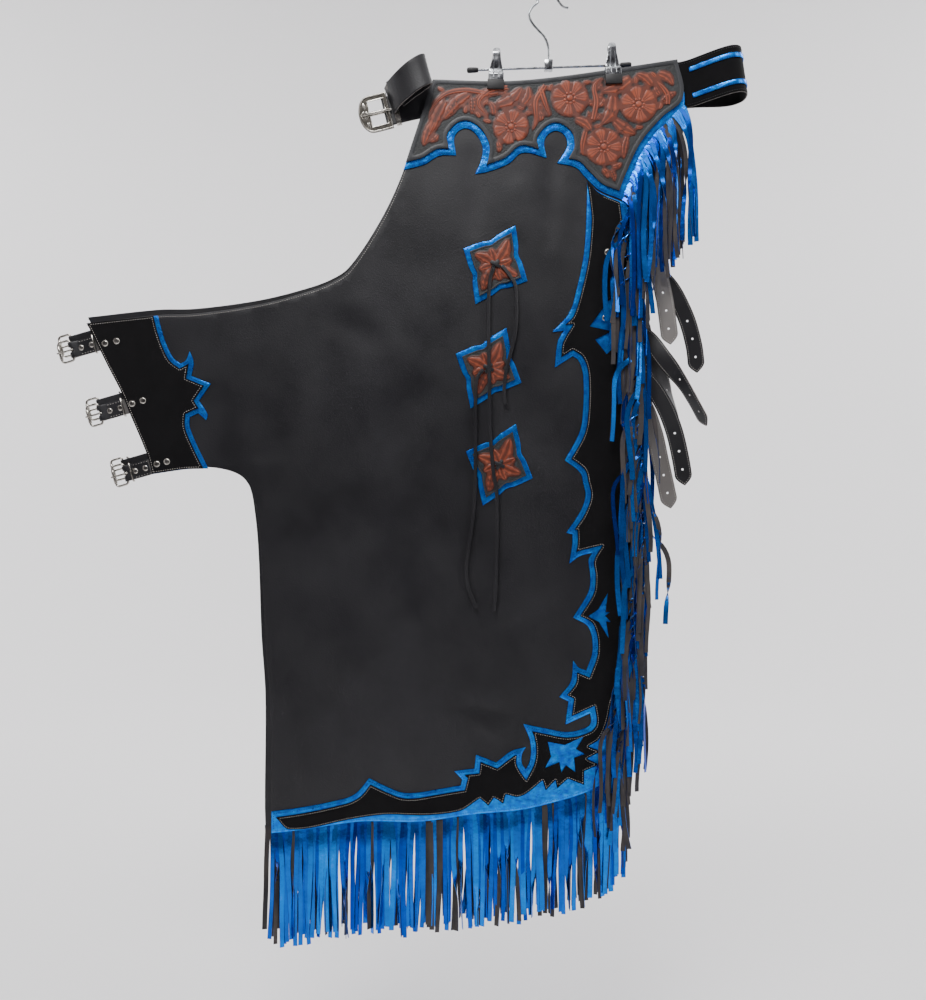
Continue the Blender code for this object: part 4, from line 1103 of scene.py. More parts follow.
class Ground:
    """A tooled piece as a grid of square millimetres, some of which are free for more carving."""

    def __init__(self, loop, margin):
        low, high = np.floor(np.min(loop, axis=0)), np.ceil(np.max(loop, axis=0))
        self.low = low.astype(int) - 2
        size = high.astype(int) - self.low + 3
        cells = np.indices(size).reshape(2, -1).T + self.low
        keep = inside(loop, cells) & (distance_to(loop, cells) > margin)
        self.whole = keep.reshape(size)
        self.free = self.whole.copy()

    def all_in(self, allowed, points):
        """Tells if all the points lie on allowed cells."""
        cells = np.clip(np.rint(points).astype(int) - self.low, 0, np.array(allowed.shape) - 1)
        return bool(allowed[cells[..., 0], cells[..., 1]].all())

    def take(self, points, around=1):
        """Marks the cells of the points and those around them as carved."""
        cells = np.rint(points).astype(int).reshape(-1, 2) - self.low
        for a in range(-around, around + 1):
            for b in range(-around, around + 1):
                near = np.clip(cells + (a, b), 0, np.array(self.free.shape) - 1)
                self.free[near[:, 0], near[:, 1]] = False

    def take_disc(self, middle, radius):
        cells = np.indices(self.free.shape)
        away = np.hypot(cells[0] + self.low[0] - middle[0], cells[1] + self.low[1] - middle[1])
        self.free[away < radius] = False

    def spots(self):
        return [tuple(spot) for spot in np.argwhere(self.free) + self.low]

    def clipped(self, spine):
        """The longest run of a spine that lies on the piece, as a few points."""
        line = flat_curve(spine)
        runs = [[]]
        for point in line:
            if self.all_in(self.whole, point):
                runs[-1].append(tuple(point))
            elif runs[-1]:
                runs.append([])
        run = max(runs, key=len)
        return [run[round(i * (len(run) - 1) / (len(run) // 8 + 1))] for i in range(len(run) // 8 + 2)]

    def lay(self, relief, spine, wide, over=False, **look):
        """Lays a blade if all of it fits, over other carving if asked; tells if it did."""
        allowed = self.whole if over else self.free
        if not self.all_in(allowed, np.array(spine)):
            return False
        line = flat_curve(spine)
        along = np.gradient(line, axis=0)
        along /= np.hypot(along[:, 0], along[:, 1])[:, None]
        halves = [blade_half(i / (len(line) - 1), wide, 0, look.get("root", BLADE_ROOT))
                  for i in range(len(line))]
        across = np.stack([-along[:, 1], along[:, 0]], axis=1) * np.array(halves)[:, None]
        shares = np.linspace(-0.95, 0.95, max(3, round(wide)))
        points = line[:, None] + across[:, None] * shares[:, None]
        if not self.all_in(allowed, points):
            return False
        relief.blade(spine, wide, **look)
        self.take(points)
        return True


BLADE_ROOT = 0.3


def blade_half(t, width, lobes, root):
    """Half width of a blade at a share of its length; lobes scallop it."""
    full = (root + (1 - root) * math.sin(math.pi * min(t * 1.6, 1) / 2)) * (1 - t ** 2.8) ** 0.9
    lobe = abs(math.sin(math.pi * lobes * t)) if lobes else 1.0
    return max(width / 2 * full * (0.74 + 0.26 * lobe), 0.08)


class Relief:
    """Gathers carved leaves, petals and stems that stand on a tooled piece, as one mesh."""

    def __init__(self):
        self.points = []
        self.faces = []

    def grid(self, rows):
        """Adds rows of equally many (across, up, height, unshaded) points, joined to a skin; unshaded is how
        little painted shade darkens a point.
        """
        first = len(self.points)
        wide = len(rows[0])
        for row in rows:
            self.points += row
        for i in range(len(rows) - 1):
            for k in range(wide - 1):
                a = first + i * wide + k
                self.faces.append([a, a + 1, a + wide + 1, a + wide])

    def blade(self, spine, width, lobes=0, tall=0.9, vein=0.5, root=BLADE_ROOT):
        """A leaf or stem along a spine of (across, up) points, scalloped into lobes.

        Its width swells from its root's share to full and closes at the tip; a vein is cut down
        its middle and its edges fall to the ground.
        """
        line = flat_curve(spine, max(width / 5, 0.9))
        along = np.gradient(line, axis=0)
        along /= np.hypot(along[:, 0], along[:, 1])[:, None]
        last = len(line) - 1
        rows = []
        for i, (place, way) in enumerate(zip(line, along)):
            t = i / last
            half = blade_half(t, width, lobes, root)
            full = half * 2 / width
            lobe = abs(math.sin(math.pi * lobes * t)) if lobes else 1.0
            row = []
            # Painted shade, kept in unshaded, darkens the blade's vein, its falling edges and the gaps between its
            # lobes.
            for u, height, unshaded in BLADE_SECTION:
                if u == 0:
                    height, unshaded = height * (1 - vein), unshaded * (1 - vein)
                lift = tall * height * (0.35 + 0.65 * full) if height > 0 else height
                row.append((place[0] - way[1] * u * half, place[1] + way[0] * u * half, lift,
                            unshaded * (0.4 + 0.6 * lobe ** 0.6)))
            rows.append(row)
        self.grid(rows)

    def petal(self, middle, angle, radius, spread, tall):
        """One broad petal with a frilled edge and fine veins, from near a flower's middle."""
        rows = []
        for i in range(8):
            t = i / 7
            reach = radius * (0.2 + 0.8 * t)
            row = []
            for k in range(11):
                u = k / 5 - 1
                turn = angle + spread * u * (0.8 + 0.32 * t - 0.2 * t ** 4)
                frill = 1 - 0.16 * u * u - 0.09 * abs(math.cos(u * math.pi * 2)) * t ** 3
                edge = min(1.0, (1 - abs(u)) * 4, (1 - t) * 5)
                groove = 0.72 + 0.28 * math.cos(u * math.pi * 4)
                lift = tall * (0.45 + 0.5 * t) * edge * groove if edge else -0.3
                # Painted shade darkens the petal's edges and the grooves of its veins.
                row.append((middle[0] + reach * frill * math.cos(turn),
                            middle[1] + reach * frill * math.sin(turn), lift, edge * (0.35 + 0.65 * groove)))
            rows.append(row)
        self.grid(rows)

    def dome(self, middle, radius, tall):
        rows = []
        # Painted shade darkens the dome towards its foot.
        for share, height in ((1.0, -0.2), (0.88, 0.6), (0.5, 0.92), (0.0, 1.0)):
            rows.append([(middle[0] + radius * share * math.cos(-a * math.pi / 5),
                          middle[1] + radius * share * math.sin(-a * math.pi / 5),
                          tall * height, 0.35 + 0.6 * abs(height)) for a in range(11)])
        self.grid(rows)

    def flower(self, middle, radius, petals, turn, tall):
        """An open flower: a ring of petals, a raised eye and a row of seeds round it."""
        for k in range(petals):
            self.petal(middle, turn + 2 * math.pi * k / petals, radius, math.pi / petals * 0.98, tall)
        for k in range(9):
            angle = 2 * math.pi * k / 9
            seed = (middle[0] + radius * 0.25 * math.cos(angle), middle[1] + radius * 0.25 * math.sin(angle))
            self.dome(seed, radius * 0.075, tall * 0.9)
        self.dome(middle, radius * 0.17, tall * 1.15)

    def field(self, ground):
        """Adds the raised tan that joins the carving wherever enough of it lies close by."""
        share = (ground.whole & ~ground.free).astype(float)
        for _ in range(2):
            share = sum(np.roll(share, (a, b), (0, 1)) for a in (-1, 0, 1) for b in (-1, 0, 1)) / 9
        heights = np.clip((share - FIELD_SHARE) * 1.6, -0.35, FIELD_TALL)[::FIELD_STEP, ::FIELD_STEP]
        # Painted shade: the field is darker where less carving lies close by.
        unshaded_cells = np.clip(share, 0.0, 0.85)[::FIELD_STEP, ::FIELD_STEP] ** 2 * 0.62
        first = len(self.points)
        high, wide = heights.shape
        for i in range(high):
            for k in range(wide):
                across, up = ground.low[0] + i * FIELD_STEP, ground.low[1] + k * FIELD_STEP
                self.points.append((across, up, float(heights[i, k]), float(unshaded_cells[i, k])))
        for i in range(high - 1):
            for k in range(wide - 1):
                if heights[i:i + 2, k:k + 2].max() > -0.05:
                    a = first + i * wide + k
                    self.faces.append([a, a + 1, a + wide + 1, a + wide])

    def mesh(self, name, place):
        """The relief as a mesh; place turns (across, up, height) rows into points in millimetres."""
        used = sorted({i for face in self.faces for i in face})
        order = {old: new for new, old in enumerate(used)}
        faces = [[order[i] for i in face] for face in self.faces]
        rows = np.array(self.points)[used]
        points = place(rows[:, :3])
        above = place(rows[:, :3] + np.array([0.0, 0.0, 1.0])) - points
        mesh = bpy.data.meshes.new(name)
        mesh.from_pydata(points * MM, [], faces)
        # The unshaded attribute carries the carving's painted shade to its material.
        mesh.attributes.new("unshaded", "FLOAT", "POINT").data.foreach_set("value", rows[:, 3])
        shape = bmesh.new()
        shape.from_mesh(mesh)
        shape.normal_update()
        wrong = [face for face in shape.faces if face.normal.dot(Vector(above[face.verts[0].index])) < 0]
        bmesh.ops.reverse_faces(shape, faces=wrong)
        bmesh.ops.remove_doubles(shape, verts=shape.verts, dist=1e-6)
        shape.to_mesh(mesh)
        shape.free()
        smooth(mesh)
        return mesh


# Cross-section of a carved blade: place across it, height and how little it is shaded
BLADE_SECTION = [(-1, -0.3, 0.0), (-0.86, 0.5, 0.55), (-0.5, 1.0, 1.0), (0, 0.75, 0.55), (0.5, 1.0, 1.0),
                 (0.86, 0.5, 0.55), (1, -0.3, 0.0)]


def leg_place(leg, base):
    """Puts (across, up, height) rows of the front leg's plan on a leg, above a layer."""
    side = side_of(leg)

    def place(rows):
        flat = np.array(on_leg([tuple(row) for row in rows[:, :2]], leg))
        back = depth(flat[:, 0], flat[:, 1]) + side * (base + rows[:, 2])
        return np.stack([flat[:, 0], back, flat[:, 1]], axis=1)

    return place


def inner_loop(loop, distance):
    """A closed line one distance inside an outline."""
    return [point for run in inset_runs(loop, distance) for point in run]


def leaf_at(place, heading, long, curl):
    """A curved spine of three points from a place, setting out at a heading and curling."""
    spine = [np.array(place, float)]
    for step in (0.5, 1.0):
        angle = heading + curl * (step - 0.25)
        spine.append(spine[-1] + long / 2 * np.array([math.cos(angle), math.sin(angle)]))
    return [tuple(point) for point in spine]


def fill_with_leaves(ground, relief, centres, sizes, draw):
    """Lays leaves that swirl round the given centres wherever they still fit, large ones first."""
    for long, wide, lobes in sizes:
        spots = ground.spots()
        draw.shuffle(spots)
        for spot in spots[:LEAF_SPOTS]:
            centre = min(centres, key=lambda middle: math.dist(middle, spot))
            outward = math.atan2(spot[1] - centre[1], spot[0] - centre[0])
            turn = draw.choice((-1, 1))
            for swing in (1.1, -1.1, 0.4, 2.0):
                curl = -turn * draw.uniform(0.5, 1.2)
                spine = leaf_at(spot, outward + turn * swing, long, curl)
                if ground.lay(relief, spine, wide, lobes=lobes, vein=draw.uniform(0.4, 0.75), root=0.45):
                    break


LEAF_SPOTS = 1400
LEAF_SIZES = [(40, 20, 4), (32, 17, 4), (25, 14, 3), (18, 10.5, 3), (13, 8, 2), (9, 5.5, 0)]
# Flowers of the yoke: middle (across, up), radius, petals and turn
YOKE_FLOWERS = [((-46, -183), 26, 6, 0.3), ((30, -146), 27, 7, 0.1), ((119, -154), 27, 6, 0.7),
                ((74, -209), 27, 7, 0.9)]
# Scroll stems of the yoke, as lines of (across, up)
YOKE_STEMS = [
    [(-2, -130), (-14, -150), (-14, -176), (-22, -202), (-40, -216), (-62, -214)],
    [(-6, -132), (-40, -132), (-72, -136), (-88, -152), (-78, -168)],
    [(60, -174), (64, -152), (62, -130), (78, -116), (96, -122), (96, -138), (86, -142)],
    [(96, -188), (118, -190), (140, -182), (154, -164), (156, -142), (142, -124)],
    [(50, -190), (46, -214), (56, -238), (76, -246), (98, -244)],
    [(-80, -140), (-106, -136), (-132, -142), (-150, -162), (-158, -186), (-170, -214)],
    [(-8, -134), (6, -172), (22, -180), (46, -178)],
]
# Broad acanthus leaves of the yoke: root, heading in degrees, length, width and curl
YOKE_LEAVES = [
    ((-62, -138), 172, 46, 19, 0.9), ((-100, -140), 205, 48, 20, 0.7), ((-132, -150), 238, 48, 20, 0.3),
    ((-146, -176), 236, 40, 17, 0.4), ((-118, -146), 262, 26, 14, -0.5), ((-96, -146), 282, 24, 13, -0.5),
    ((-30, -206), 262, 30, 15, -0.5), ((-52, -208), 250, 26, 13, 0.4), ((104, -118), 20, 52, 17, -0.3),
    ((150, -150), 48, 24, 12, -0.5), ((84, -240), 300, 26, 13, -0.4), ((104, -196), 250, 40, 15, 0.4),
    ((-12, -128), 340, 30, 13, 0.4), ((50, -124), 170, 22, 11, 0.5), ((8, -176), 190, 22, 11, 0.5),
]
# Raised tan between the carving: its height, the share of carving it needs nearby, its cells
FIELD_TALL = 0.42
FIELD_SHARE = 0.42
FIELD_STEP = 2


class CHAPS_OT_tooling(bpy.types.Operator):
    """Carved leather: flowers, leaves and scrolls of the yokes, and the leaves of the conchos"""

    bl_idname = "chaps.tooling"
    bl_label = "Tooling"

    def execute(self, context):
        yoke = cut_line("front_yoke", -1)
        relief = self.yoke_relief(yoke)
        carved = [self.concho_relief(number, (across, up), math.radians(turn))
                  for number, (across, up, turn) in enumerate(CONCHOS, 1)]
        for leg in LEGS:
            place = leg_place(leg, TOOLED_LAYER[1])
            name = f"{leg}_yoke_carving"
            add_piece(name, relief.mesh(name, place), ["carved_tan_leather"])
            self.add_rim(leg, f"{leg}_yoke_rim", on_leg(yoke, leg), YOKE_MARGIN)
            for number, (across, up, turn) in enumerate(CONCHOS, 1):
                self.add_concho(leg, number, (across, up), math.radians(turn), carved[number - 1])
        return {"FINISHED"}

    def yoke_relief(self, loop):
        draw = random.Random(11)
        ground = Ground(loop, YOKE_MARGIN + 3.0)
        relief = Relief()
        for middle, radius, petals, turn in YOKE_FLOWERS:
            relief.flower(middle, radius, petals, turn, 1.1)
            ground.take_disc(middle, radius * 0.93)
        for root, heading, long, wide, curl in YOKE_LEAVES:
            for share in (1.0, 0.85, 0.7, 0.55):
                spine = leaf_at(root, math.radians(heading), long * share, curl)
                if ground.lay(relief, spine, wide * share, over=True, lobes=5, tall=1.3, vein=0.6, root=0.5):
                    break
        for stem in YOKE_STEMS:
            stem = ground.clipped(stem)
            relief.blade(stem, 8.0, tall=1.5, vein=0.5, root=0.8)
            ground.take(flat_curve(stem), 3)
            self.sprout(ground, relief, stem, draw)
        fill_with_leaves(ground, relief, [flower[0] for flower in YOKE_FLOWERS], LEAF_SIZES, draw)
        relief.field(ground)
        return relief

    def sprout(self, ground, relief, stem, draw):
        """Acanthus leaflets on both sides of a stem."""
        line = flat_curve(stem)
        for i in range(3, len(line) - 6, 8):
            way = line[i + 4] - line[i]
            heading = math.atan2(way[1], way[0])
            for turn in (-1, 1):
                root = line[i] + np.array([-way[1], way[0]]) / math.hypot(*way) * turn * 5.2
                for long in (24, 20, 16, 12, 8):
                    spine = leaf_at(root, heading + turn * draw.uniform(0.5, 0.8), long, -turn * 0.7)
                    if ground.lay(relief, spine, long * 0.5, lobes=2, vein=0.55, root=0.6):
                        break

    def add_rim(self, leg, name, loop, margin):
        """The smooth dyed margin round a tooled piece, with a line cut along its inner side."""
        side = side_of(leg)
        top = TOOLED_LAYER[1]
        hole = inner_loop(loop, margin)
        mesh = leather_sheet(name, loop, (top + 0.05, top + 0.4), side, 4.0, [hole], 0.15)
        add_piece(name, mesh, ["dyed_rim"])

    def concho_relief(self, number, middle, turn):
        """Leaves that fan out from a concho's middle."""
        outline = soft_line(outline_of(f"front_concho_patch_{number}", -1), True, 2.0)
        ground = Ground(outline, CONCHO_MARGIN + 0.4)
        relief = Relief()
        draw = random.Random(number)
        for angle, long, wide in CONCHO_LEAVES:
            heading = turn + math.radians(angle)
            root = (middle[0] + 3 * math.cos(heading), middle[1] + 3 * math.sin(heading))
            for share in (1.0, 0.9, 0.8, 0.7, 0.6):
                spine = leaf_at(root, heading - 0.25, long * share, 0.5)
                if ground.lay(relief, spine, wide * share, over=True, lobes=5, tall=1.1, vein=0.5, root=0.45):
                    break
        fill_with_leaves(ground, relief, [middle], LEAF_SIZES[2:], draw)
        relief.field(ground)
        return relief

    def add_concho(self, leg, number, middle, turn, relief):
        """One concho: its blue border, its carved patch, and the knot of its lace."""
        side = side_of(leg)
        trim = f"{leg}_concho_trim_{number}" if leg == "front" else f"back_concho_{number}"
        outline = soft_line(outline_of(trim, side), True, 2.0)
        centre = on_leg([middle], leg)[0]
        border = leather_sheet(f"{leg}_concho_border_{number}", outline, TRIM_LAYER, side, 4.0)
        piece = add_piece(f"{leg}_concho_border_{number}", border, ["metallic_blue_leather"], [trim])
        declare_cut(outline)
        share = 1 - 2 * CONCHO_RIM / CONCHO_SIDE
        patch = [tuple(centre[k] + (point[k] - centre[k]) * share for k in (0, 1)) for point in outline]
        nodes = [f"front_concho_patch_{number}"] if leg == "front" else []
        ground_mesh = leather_sheet(f"{leg}_concho_ground_{number}", patch, TOOLED_LAYER, side, 4.0)
        piece = add_piece(f"{leg}_concho_ground_{number}", ground_mesh, ["matted_ground"], nodes)
        declare_cut(patch)
        self.add_rim(leg, f"{leg}_concho_rim_{number}", patch, CONCHO_MARGIN)
        name = f"{leg}_concho_carving_{number}"
        add_piece(name, relief.mesh(name, leg_place(leg, TOOLED_LAYER[1])), ["carved_tan_leather"])
        start = turn + (0 if leg == "front" else BACK_TURN)
        base = TOOLED_LAYER[1]
        knots = []
        for k, heading in enumerate((start + 0.6, start + 2.3)):
            rows = []
            for t, out in ((-7, 0.6), (-4, 1.4), (0, 1.9), (4, 1.4), (7, 0.6)):
                x, z = centre[0] + t * math.cos(heading), centre[1] + t * math.sin(heading)
                rows.append(((x, float(depth(x, z)) + side * (base + out + 0.7 * k), z), (0, side, 0)))
            strap = Strap(rows)
            knots.append(strap.cut("knot", strap.ribbon(0, strap.long, LACE_WIDE / 2), 1.2))
        knot = joined(f"{leg}_concho_knot_{number}", knots)
        add_piece(knot.name, knot, ["smooth_black_leather"])


CONCHOS = [(-66, -361, 18), (-75, -495, 21), (-61, -620, 23)]
CONCHO_SIDE = 73.0
CONCHO_RIM = 7.0
CONCHO_MARGIN = 2.2
# Leaves that fan out from a concho's middle: heading in degrees, length and width
CONCHO_LEAVES = [(-90, 26, 18), (-45, 33, 20), (0, 27, 18), (180, 27, 18), (225, 42, 21), (135, 33, 22),
                 (90, 27, 19), (45, 42, 24)]
YOKE_MARGIN = 5.5


class CHAPS_OT_sewing(bpy.types.Operator):
    """Rows of stitches along the cut edges, and the rivets of the tab and the wing"""

    bl_idname = "chaps.sewing"
    bl_label = "Stitching and rivets"

    def execute(self, context):
        pitch = context.scene.chaps_sizes.stitch_pitch / MM
        for leg in LEGS:
            side = side_of(leg)
            yoke_edge = cut_line(leg + "_yoke_trim", side)
            for part, inset, out, colour in STITCH_ROWS:
                loop = cut_line(f"{leg}_{part}", side)
                runs = inset_runs(loop, inset)
                if part == "wing_overlay":
                    runs = [clear for run in runs for clear in runs_clear_of(run, yoke_edge, HIDDEN_STITCH)]
                lines = [on_cloth(run, out, side) for run in runs]
                stitches(f"{leg}_{part}_stitches_{round(inset)}", lines, colour, pitch)
            panel = cut_line(leg + "_leg_panel", side)
            edge = stretch(panel, *on_leg([INSEAM_TOP, TAB_TOP], leg))
            lines = [on_cloth(run, PANEL_LAYER[1], side) for run in inset_runs(edge, 2.6, False)]
            stitches(leg + "_inseam_stitches", lines, "grey_thread", pitch)
            places = on_cloth(on_leg(SUEDE_RIVETS, leg), SUEDE_LAYER[1], side)
            rivets(leg + "_suede_rivets", places)
        return {"FINISHED"}


def runs_clear_of(run, edge, distance):
    """The stretches of a line that keep a distance from an edge."""
    kept = distance_to(edge, run) > distance
    runs = [[]]
    for point, keep in zip(run, kept):
        if keep:
            runs[-1].append(point)
        elif runs[-1]:
            runs.append([])
    return [clear for clear in runs if len(clear) > 2]


# Stitches of the wing this near the yoke's edge would lie under it
HIDDEN_STITCH = 6.0
# Stitch rows along whole outlines: part, distance inside its edge, height out, thread
STITCH_ROWS = [
    ("wing_overlay", 1.9, SUEDE_LAYER[1], "grey_thread"),
    ("tab_overlay", 2.3, SUEDE_LAYER[1], "grey_thread"),
    ("wing_trim", 3.0, TRIM_LAYER[1], "blue_thread"),
    ("tab_trim", 2.8, TRIM_LAYER[1], "blue_thread"),
    ("yoke_trim", 2.4, TRIM_LAYER[1], "blue_thread"),
    ("yoke_trim", 6.4, TRIM_LAYER[1], "blue_thread"),
]
SUEDE_RIVETS = [(-571, -463), (-556, -460), (-536, -541), (-522, -537), (-504, -619), (-491, -616),
                (79, -345), (76, -430)]


def paint_faces(mesh, strap):
    """Gives a strap's outer face the first finish, its inner face the second, its edges the third."""
    centres = np.array([polygon.center for polygon in mesh.polygons]) / MM
    normals = np.array([polygon.normal for polygon in mesh.polygons])
    away = np.linalg.norm(centres[:, None] - strap.middles[None], axis=2)
    shown = (normals * strap.faces[away.argmin(axis=1)]).sum(axis=1)
    for polygon, value in zip(mesh.polygons, shown):
        polygon.material_index = 0 if value > 0.5 else 1 if value < -0.5 else 2


def add_strap(name, strap, outline, thick, finishes, replaces, holes=()):
    """A strap as a piece with its outer, inner and edge finishes; the area of its flat cut is worked out but not
    kept.
    """
    mesh = strap.cut(name, outline, thick, holes)
    paint_faces(mesh, strap)
    piece = add_piece(name, mesh, finishes, replaces)
    abs(area_of(outline)) * MM * MM
    return piece


class CHAPS_OT_tab_straps(bpy.types.Operator):
    """Riveted straps on the tabs, each folded round the bar of its swinging buckle"""

    bl_idname = "chaps.tab_straps"
    bl_label = "Tab straps and buckles"

    def execute(self, context):
        pitch = context.scene.chaps_sizes.stitch_pitch / MM
        along = np.array([-math.cos(STRAP_SLOPE), 0, -math.sin(STRAP_SLOPE)])
        for leg in LEGS:
            side = side_of(leg)
            outward = np.array([0.0, side, 0.0])
            wide = np.cross(along, outward)
            caps = []
            sewn = []
            for number, place in enumerate(on_leg(TAB_STRAPS, leg), 1):
                origin = np.array([place[0], 0.0, place[1]])

                def at(u, v, w=0.0):
                    return origin + along * u + outward * v + wide * w

                strap = self.folded_strap(at, along, outward)
                slot_start, slot_end = strap.reach(at(32, 1)), strap.reach(at(31.5, 5.6))
                slot = [(slot_start, -2), (slot_end, -2), (slot_end, 2), (slot_start, 2)]
                half = STRAP_WIDE / 2
                add_strap(f"{leg}_tab_strap_{number}_leather", strap, strap.ribbon(0, strap.long, half),
                          STRAP_THICK, ["smooth_black_leather", "flesh_side", "cut_edge"],
                          [f"{leg}_tab_strap_{number}"], [slot])
                flap = strap.reach(at(22, FLAP_OUT))
                for across in (-half + 2, half - 2):
                    row = [(s, across) for s in np.arange(flap, strap.long - 1, 2)]
                    sewn.append([tuple(p) for p in strap.points(row, STRAP_THICK / 2)])
                caps += [tuple(at(u, FLAP_OUT + STRAP_THICK / 2)) for u in STRAP_RIVETS[number - 1]]
                keeper = [(at(KEEPER_AT[number - 1], v, w), 1.2) for v, w in KEEPER]
                add_piece(f"{leg}_tab_keeper_{number}", tube(f"{leg}_tab_keeper_{number}", keeper, 8),
                          ["nickel_plate"])
                self.add_buckle(leg, number, at)
            stitches(leg + "_tab_strap_stitches", sewn, "grey_thread", pitch)
            rivets(leg + "_tab_strap_rivets", caps, 3.5)
        return {"FINISHED"}

    def folded_strap(self, at, along, outward):
        """Along under the tab to the bar, round it, and back on top of itself."""
        rows = [(at(u, 1.0), -outward) for u in (-30, -10, 10, 26, 34)]
        for angle in (-60, -30, 0, 30, 60, 90):
            turn = math.radians(angle)
            rows.append((at(34 + BEND * math.cos(turn), BAR_OUT + BEND * math.sin(turn)),
                         along * math.cos(turn) + outward * math.sin(turn)))
        rows += [(at(29, 4.9), outward), (at(25, 3.3), outward)]
        rows += [(at(u, FLAP_OUT), outward) for u in (22, 12, 3)]
        return Strap(rows, 0.9)

    def add_buckle(self, leg, number, at):
        """Rounded frame, roller on its far bar, and a prong hooked round its heel bar."""
        rows = []
        for (u, w), first, last in FRAME_CORNERS:
            for k in range(6):
                turn = math.radians(first + (last - first) * k / 5)
                rows.append((at(34 + u + FRAME_CORNER * math.cos(turn), BAR_OUT,
                                w + FRAME_CORNER * math.sin(turn)), 1.5))
        frame_ring = tube("frame", rows, 12, True)
        roller = tube("roller", [(at(34 + FRAME_LONG, BAR_OUT, w), r) for w, r in
                                 ((-8.6, 1.9), (-8.3, 2.15), (8.3, 2.15), (8.6, 1.9))], 16)
        prong = tube("prong", [(at(34 + u, BAR_OUT + v, 0), r) for u, v, r in PRONG], 10)
        name = f"{leg}_tab_buckle_{number}_metal"
        add_piece(name, joined(name, [frame_ring, roller, prong]), ["nickel_plate"],
                  [f"{leg}_tab_buckle_{number}"], f"{leg}_buckle_{number}")


# Tab straps in their own axes: along the strap, out of the garment, across its width
TAB_STRAPS = [(-582, -462), (-545, -544), (-512, -622)]
STRAP_SLOPE = math.radians(16)
STRAP_WIDE = 20.0
STRAP_THICK = 1.6
BAR_OUT = 3.7
BEND = 2.7
FLAP_OUT = 2.95
# Keepers: along each strap, and the loop of (out, across)
KEEPER_AT = (4.2, 4.2, 27.0)
STRAP_RIVETS = ((7.5, 22.0), (7.5, 22.0), (8.0, 22.0))
KEEPER = [(0.9, -11.6), (4.2, -11.6), (4.9, -10.6), (5.0, 0), (4.9, 10.6), (4.2, 11.6), (0.9, 11.6)]
FRAME_LONG = 16.0
FRAME_CORNER = 4.0
# Corner arcs of the buckle's frame: middle (along, across), first and last angle
FRAME_CORNERS = [((12, -9.5), -90, 0), ((12, 9.5), 0, 90), ((4, 9.5), 90, 180), ((4, -9.5), 180, 270)]
# Prong: along from the bar, out, radius
PRONG = [(-2.4, -0.9, 0.8), (-2.6, 1.0, 1.1), (-0.5, 2.4, 1.2), (4, 1.9, 1.25), (12, 2.2, 1.25),
         (16, 3.1, 1.2), (19, 2.6, 1.0), (19.4, 2.4, 0.4)]


class CHAPS_OT_billets(bpy.types.Operator):
    """Holed, pointed and stitched strap ends that hang on the outer side"""

    bl_idname = "chaps.billets"
    bl_label = "Billets"

    def execute(self, context):
        pitch = context.scene.chaps_sizes.stitch_pitch / MM
        sewn = []
        for name, rows in BILLETS.items():
            strap = self.hanging(rows, side_of(name.split("_")[0]))
            long = strap.long + BILLET_TIP
            half = BILLET_WIDE / 2
            outline = strap.ribbon(0, strap.long - 4, half)
            upper = len(outline) // 2
            tip = [(strap.long - 4 + (BILLET_TIP + 4) * t, half * (1 - t ** 1.7))
                   for t in (0.25, 0.5, 0.75, 0.92)]
            point = [(s, -w) for s, w in tip] + [(long, 0)] + tip[::-1]
            outline = outline[:upper] + point + outline[upper:]
            holes = [circle((long - 21 - 24 * k, 0), 1.5) for k in range(3)]
            finishes = ["smooth_black_leather", "flesh_side", "cut_edge"]
            if name in FLESH_OUT:
                finishes = ["flesh_side", "smooth_black_leather", "cut_edge"]
            add_strap(name + "_leather", strap, outline, BILLET_THICK, finishes, [name], holes)
            for run in inset_runs(soft_line(outline, True, 2.5), 2.2):
                for out in (-BILLET_THICK / 2, BILLET_THICK / 2):
                    sewn.append([tuple(p) for p in strap.points(run, out)])
        stitches("billet_stitches", sewn, "grey_thread", pitch)
        return {"FINISHED"}

    def hanging(self, rows, side):
        """The strap through rows of (across, up, out, twist)."""
        result = []
        for i, (across, up, out, twist) in enumerate(rows):
            before, after = rows[max(i - 1, 0)], rows[min(i + 1, len(rows) - 1)]
            heading = Vector((after[0] - before[0], 0, after[1] - before[1])).normalized()
            angle = math.radians(twist)
            wide = Vector((-heading.z, 0, heading.x)) * math.cos(angle)
            wide += Vector((0, side, 0)) * math.sin(angle)
            result.append(((across, side * out, up), tuple(heading.cross(wide))))
        return Strap(result)


# Billets: rows are (across, up, out, twist in degrees); they repeat the solids' own routes
BILLETS = {
    "front_billet_1": [(103, -334, 1, 0), (125, -344, 1, 0), (143, -366, 2, 0), (152, -400, 4, 10),
                       (156, -428, 6, 15), (159, -456, 8, 15)],
    "back_billet_1": [(103, -352, 1, 0), (130, -362, 1, 0), (160, -386, 2, 0), (182, -425, 5, 0),
                      (194, -462, 9, 0), (198, -490, 11, 0)],
    "front_billet_2": [(110, -444, 1, 0), (132, -456, 1, 0), (152, -484, 8, 20), (172, -513, 16, 60),
                       (186, -538, 20, 70), (199, -563, 22, 70)],
    "back_billet_2": [(110, -462, 1, 0), (134, -480, 1, 0), (152, -508, 7, 20), (165, -532, 14, 60),
                      (173, -554, 18, 65), (178, -577, 20, 65)],
    "front_billet_3": [(110, -500, 1, 0), (132, -512, 1, 0), (152, -542, 3, 10), (165, -576, 6, 15),
                       (173, -612, 8, 10), (177, -638, 9, 0)],
    "back_billet_3": [(110, -528, 1, 0), (128, -544, 1, 0), (141, -578, 2, 0), (149, -612, 4, 0),
                      (156, -642, 6, 0), (162, -668, 8, 0)],
}
BILLET_WIDE = 22.0
BILLET_THICK = 1.6
BILLET_TIP = 9.0
FLESH_OUT = ("front_billet_1", "back_billet_3")


